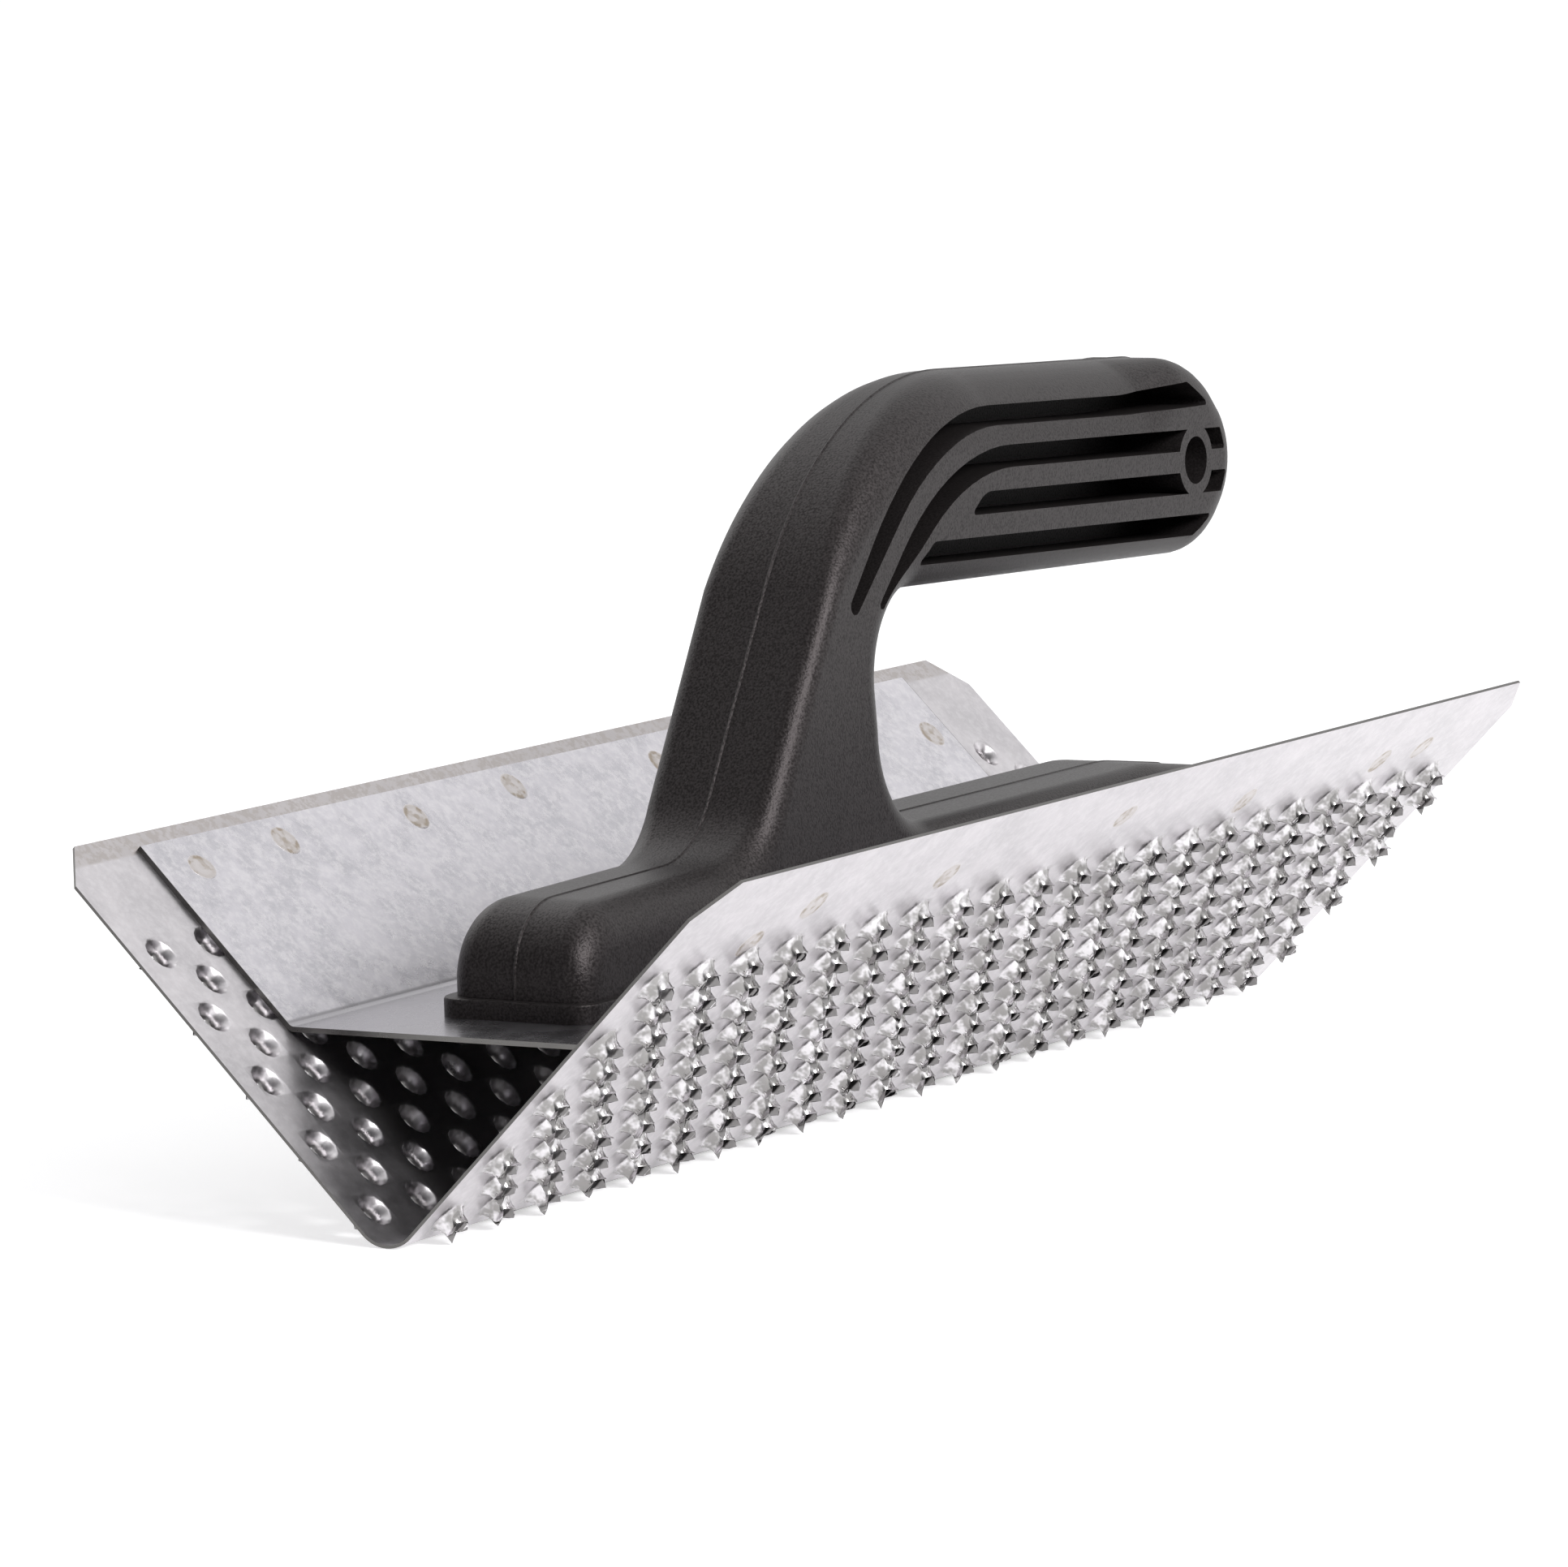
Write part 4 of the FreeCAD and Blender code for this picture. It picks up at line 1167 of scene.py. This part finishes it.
    def rim(self) -> Object:
        """Builds the foot's rim, with rounded corners and a soft upper edge."""
        low, far = -self.rim_margin, self.foot_length + self.rim_margin
        ends = ((low, -self.rim_half), (far, -self.rim_half), (far, self.rim_half), (low, self.rim_half))
        plan = rounded([Corner(*end, self.rim_corner) for end in ends], self.rim_step)
        middle = Vector((self.foot_length / 2, 0))
        levels = [(0, 0)] + [(inset, self.rim_height - drop) for inset, drop in self.rim_round]
        work = bmesh.new()
        loops = []
        for inset, level in levels:
            loop = []
            for x, y, _ in plan:
                towards = Vector((x, y)) - middle
                pull = Vector((math.copysign(inset, towards.x), math.copysign(inset, towards.y)))
                loop.append(work.verts.new(self.spot(x - pull.x, level, y - pull.y)))
            loops.append(loop)
        shell(work, loops)
        bmesh.ops.recalc_face_normals(work, faces=work.faces)
        return show(finish_mesh(work, "foot_rim"))

    def mark_slot_shade(self, mesh: Mesh) -> None:
        """Marks the floors of the slots for painted shade, so that the slots darken inwards."""
        low, high = (self.web - self.slot_shade_reach[0]) * MM, (self.web + self.slot_shade_reach[1]) * MM
        deep = [float(low < abs(point.co.y) < high and abs(point.normal.y) > 0.3) for point in mesh.vertices]
        mesh.attributes.new("deep", "FLOAT", "POINT").data.foreach_set("value", deep)

    def build(self) -> Object:
        """Builds the handle.

        Returns:
            The handle, which stands for the CAD handle.
        """
        handle = self.body()
        near, far = -self.cut_margin[0], self.foot_length + self.cut_margin[0]
        low = self.base - self.cut_margin[1]
        below = ((near, low), (far, low), (far, 0), (near, 0))
        solve(handle, self.prism(below, -self.through, self.through, "web_cut"), Solve.CUT)
        for corners in self.slots():
            outline = rounded(corners, self.slot_step)
            for low, high in ((self.web, self.slot_reach), (-self.slot_reach, -self.web)):
                cutter = self.prism(outline, low, high, "slot_cut")
                ring = self.prism(self.circle(self.ring_radius), -self.through, self.through, "ring")
                solve(cutter, ring, Solve.CUT)
                solve(handle, cutter, Solve.CUT)
        hole = self.prism(self.circle(self.hole_radius), -self.through, self.through, "hang_hole")
        solve(handle, hole, Solve.CUT)
        solve(handle, self.rim(), Solve.JOIN)
        soften = handle.modifiers.new("soft_edges", "BEVEL")
        soften.width = self.edge_bevel * MM
        soften.segments = 2
        soften.limit_method = "ANGLE"
        soften.angle_limit = math.radians(50)
        weigh_normals(handle)
        self.mark_slot_shade(handle.data)
        handle.data.materials.clear()
        handle.data.materials.append(self.plastic)
        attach(handle, "root")
        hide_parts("handle")
        return handle


# Studio


@dataclass
class Studio:
    """Pale floor, soft lights and the camera."""

    camera_spot: tuple = (-1.12205, -0.64227, 0.21205)
    yaw: float = 0.527428
    pitch: float = -0.122439
    roll: float = -0.027621
    lens: float = 184.38
    aim: tuple = (0, 0, 0.05)
    floor_size: float = 60.0
    floor_axis: tuple = (0.863, 0.504, 0)
    floor_fade: tuple = (-0.8, -0.37)
    floor_glow: tuple = ((0.05, 0.05, 0.05, 1), (1, 1, 1, 1))
    floor_tone: tuple = ((0.1, 0.1, 0.1, 1), (0.62, 0.62, 0.625, 1))
    glow_strength: float = 0.5
    sky_axis: tuple = (-0.97, 0.1, 0.2)
    sky_fade: tuple = (0.2, 0.9)
    sky_tone: tuple = ((1.0, 1.0, 1.0, 1), (0.09, 0.09, 0.095, 1))

    def camera(self) -> None:
        """Sets the camera where the photograph was taken from."""
        data = bpy.data.cameras.new("camera")
        data.lens = self.lens
        data.sensor_width = 36
        data.sensor_fit = "HORIZONTAL"
        data.clip_start = 0.05
        data.clip_end = 200
        made = bpy.data.objects.new("camera", data)
        bpy.context.scene.collection.objects.link(made)
        ahead = Vector((math.cos(self.yaw) * math.cos(self.pitch), math.sin(self.yaw) * math.cos(self.pitch),
                        math.sin(self.pitch)))
        right = ahead.cross(Vector((0, 0, 1))).normalized()
        up = right.cross(ahead)
        tilted = right * math.cos(self.roll) + up * math.sin(self.roll)
        upright = up * math.cos(self.roll) - right * math.sin(self.roll)
        turn = Matrix((tilted, upright, -ahead)).transposed()
        made.matrix_world = Matrix.Translation(self.camera_spot) @ turn.to_4x4()
        bpy.context.scene.camera = made

    def floor(self) -> None:
        """Lays the floor under the lowest tooth tips, white round the part and dark near the camera."""
        size = self.floor_size
        mesh = bpy.data.meshes.new("floor")
        mesh.from_pydata([(-size, -size, 0), (size, -size, 0), (size, size, 0), (-size, size, 0)], [],
                         [(0, 1, 2, 3)])
        made = show(mesh)
        paper, wire, shader = new_material("floor_paper")
        level = wire.ramp(wire.along(wire.place(), self.floor_axis), *self.floor_fade)
        wire.feed(shader, {"Emission Color": wire.mix(level, *self.floor_glow),
                           "Base Color": wire.mix(level, *self.floor_tone), "Roughness": 0.85,
                           "Emission Strength": self.glow_strength})
        mesh.materials.append(paper)

    def light(self, name: str, spot: tuple, size: float, power: float) -> None:
        """Adds one soft light that faces the part.

        Args:
            name: the light's name.
            spot: where it stands.
            size: width and height of its panel.
            power: watts.
        """
        data = bpy.data.lights.new(name, "AREA")
        data.size = size
        data.energy = power
        made = bpy.data.objects.new(name, data)
        bpy.context.scene.collection.objects.link(made)
        away = Vector(spot) - Vector(self.aim)
        made.matrix_world = Matrix.Translation(spot) @ away.to_track_quat("Z", "Y").to_matrix().to_4x4()

    def world(self) -> None:
        """Wraps the studio in soft white, dim before the part's front end."""
        world = bpy.data.worlds.new("studio")
        world.use_nodes = True
        world.node_tree.nodes.clear()
        wire = Wiring(world.node_tree)
        way = wire.node("ShaderNodeTexCoord").outputs["Generated"]
        colour = wire.mix(wire.ramp(wire.along(way, self.sky_axis), *self.sky_fade), *self.sky_tone)
        sky = wire.node("ShaderNodeBackground", {0: colour, 1: 1.0})
        wire.node("ShaderNodeOutputWorld", {0: sky.outputs[0]})
        bpy.context.scene.world = world

    def build(self) -> None:
        """Builds the whole studio."""
        self.camera()
        self.floor()
        self.world()
        self.light("key_light", (-0.5, -1.45, 0.95), 0.6, 30)
        self.light("back_light", (0.6, 1.4, 1.2), 1.2, 5)
        bpy.context.scene.view_settings.view_transform = "Standard"


def report(piece: Object) -> None:
    """Logs one finished piece."""
    mesh = piece.data
    mesh.calc_loop_triangles()
    log.info("%s: %d faces, %d triangles", piece.name, len(mesh.polygons), len(mesh.loop_triangles))


def dress(node: str, finish: Material) -> Object:
    """Gives a CAD node its material and returns it."""
    piece = frame["nodes"][node]
    piece.data.materials.clear()
    piece.data.materials.append(finish)
    return piece


def main() -> None:
    """Builds every piece in order and reports it."""
    logging.basicConfig(level=logging.INFO, format="%(message)s", stream=sys.stdout)
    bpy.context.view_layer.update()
    surface = sheet_surface()
    # Painted shade on the plate's inner faces in the tunnel under the channel's web; the stain near the top
    # is real.
    plate = SheetSteel("plate_steel", stained_from=53.9 * MM, shaded_under=WEB_TOP - 1 * MM,
                       tunnel=True).make(surface)
    # Painted shade on the channel's web and all below it, darker than its flanges.
    channel = SheetSteel("carrier_steel", pale=(0.66, 0.64, 0.68, 1), dull=(0.50, 0.49, 0.525, 1),
                         painted_shade=(0.36, 0.35, 0.37, 1), specks=0.5, satin=0.24, ends=119.4 * MM,
                         shaded_under=WEB_TOP + 0.6 * MM).make(surface)
    screw = SheetSteel("screw_steel", pale=(0.5, 0.5, 0.5, 1), satin=0.3, lines=0.1).make(surface)
    Studio().build()
    report(RaspSheet(plate).build())
    report(SpotWelds(WeldTint().make(surface)).build())
    report(Handle(BlackPlastic().make()).build())
    report(dress("carrier_channel", channel))
    report(dress("foot_screws", screw))


if __name__ == "__main__":
    main()
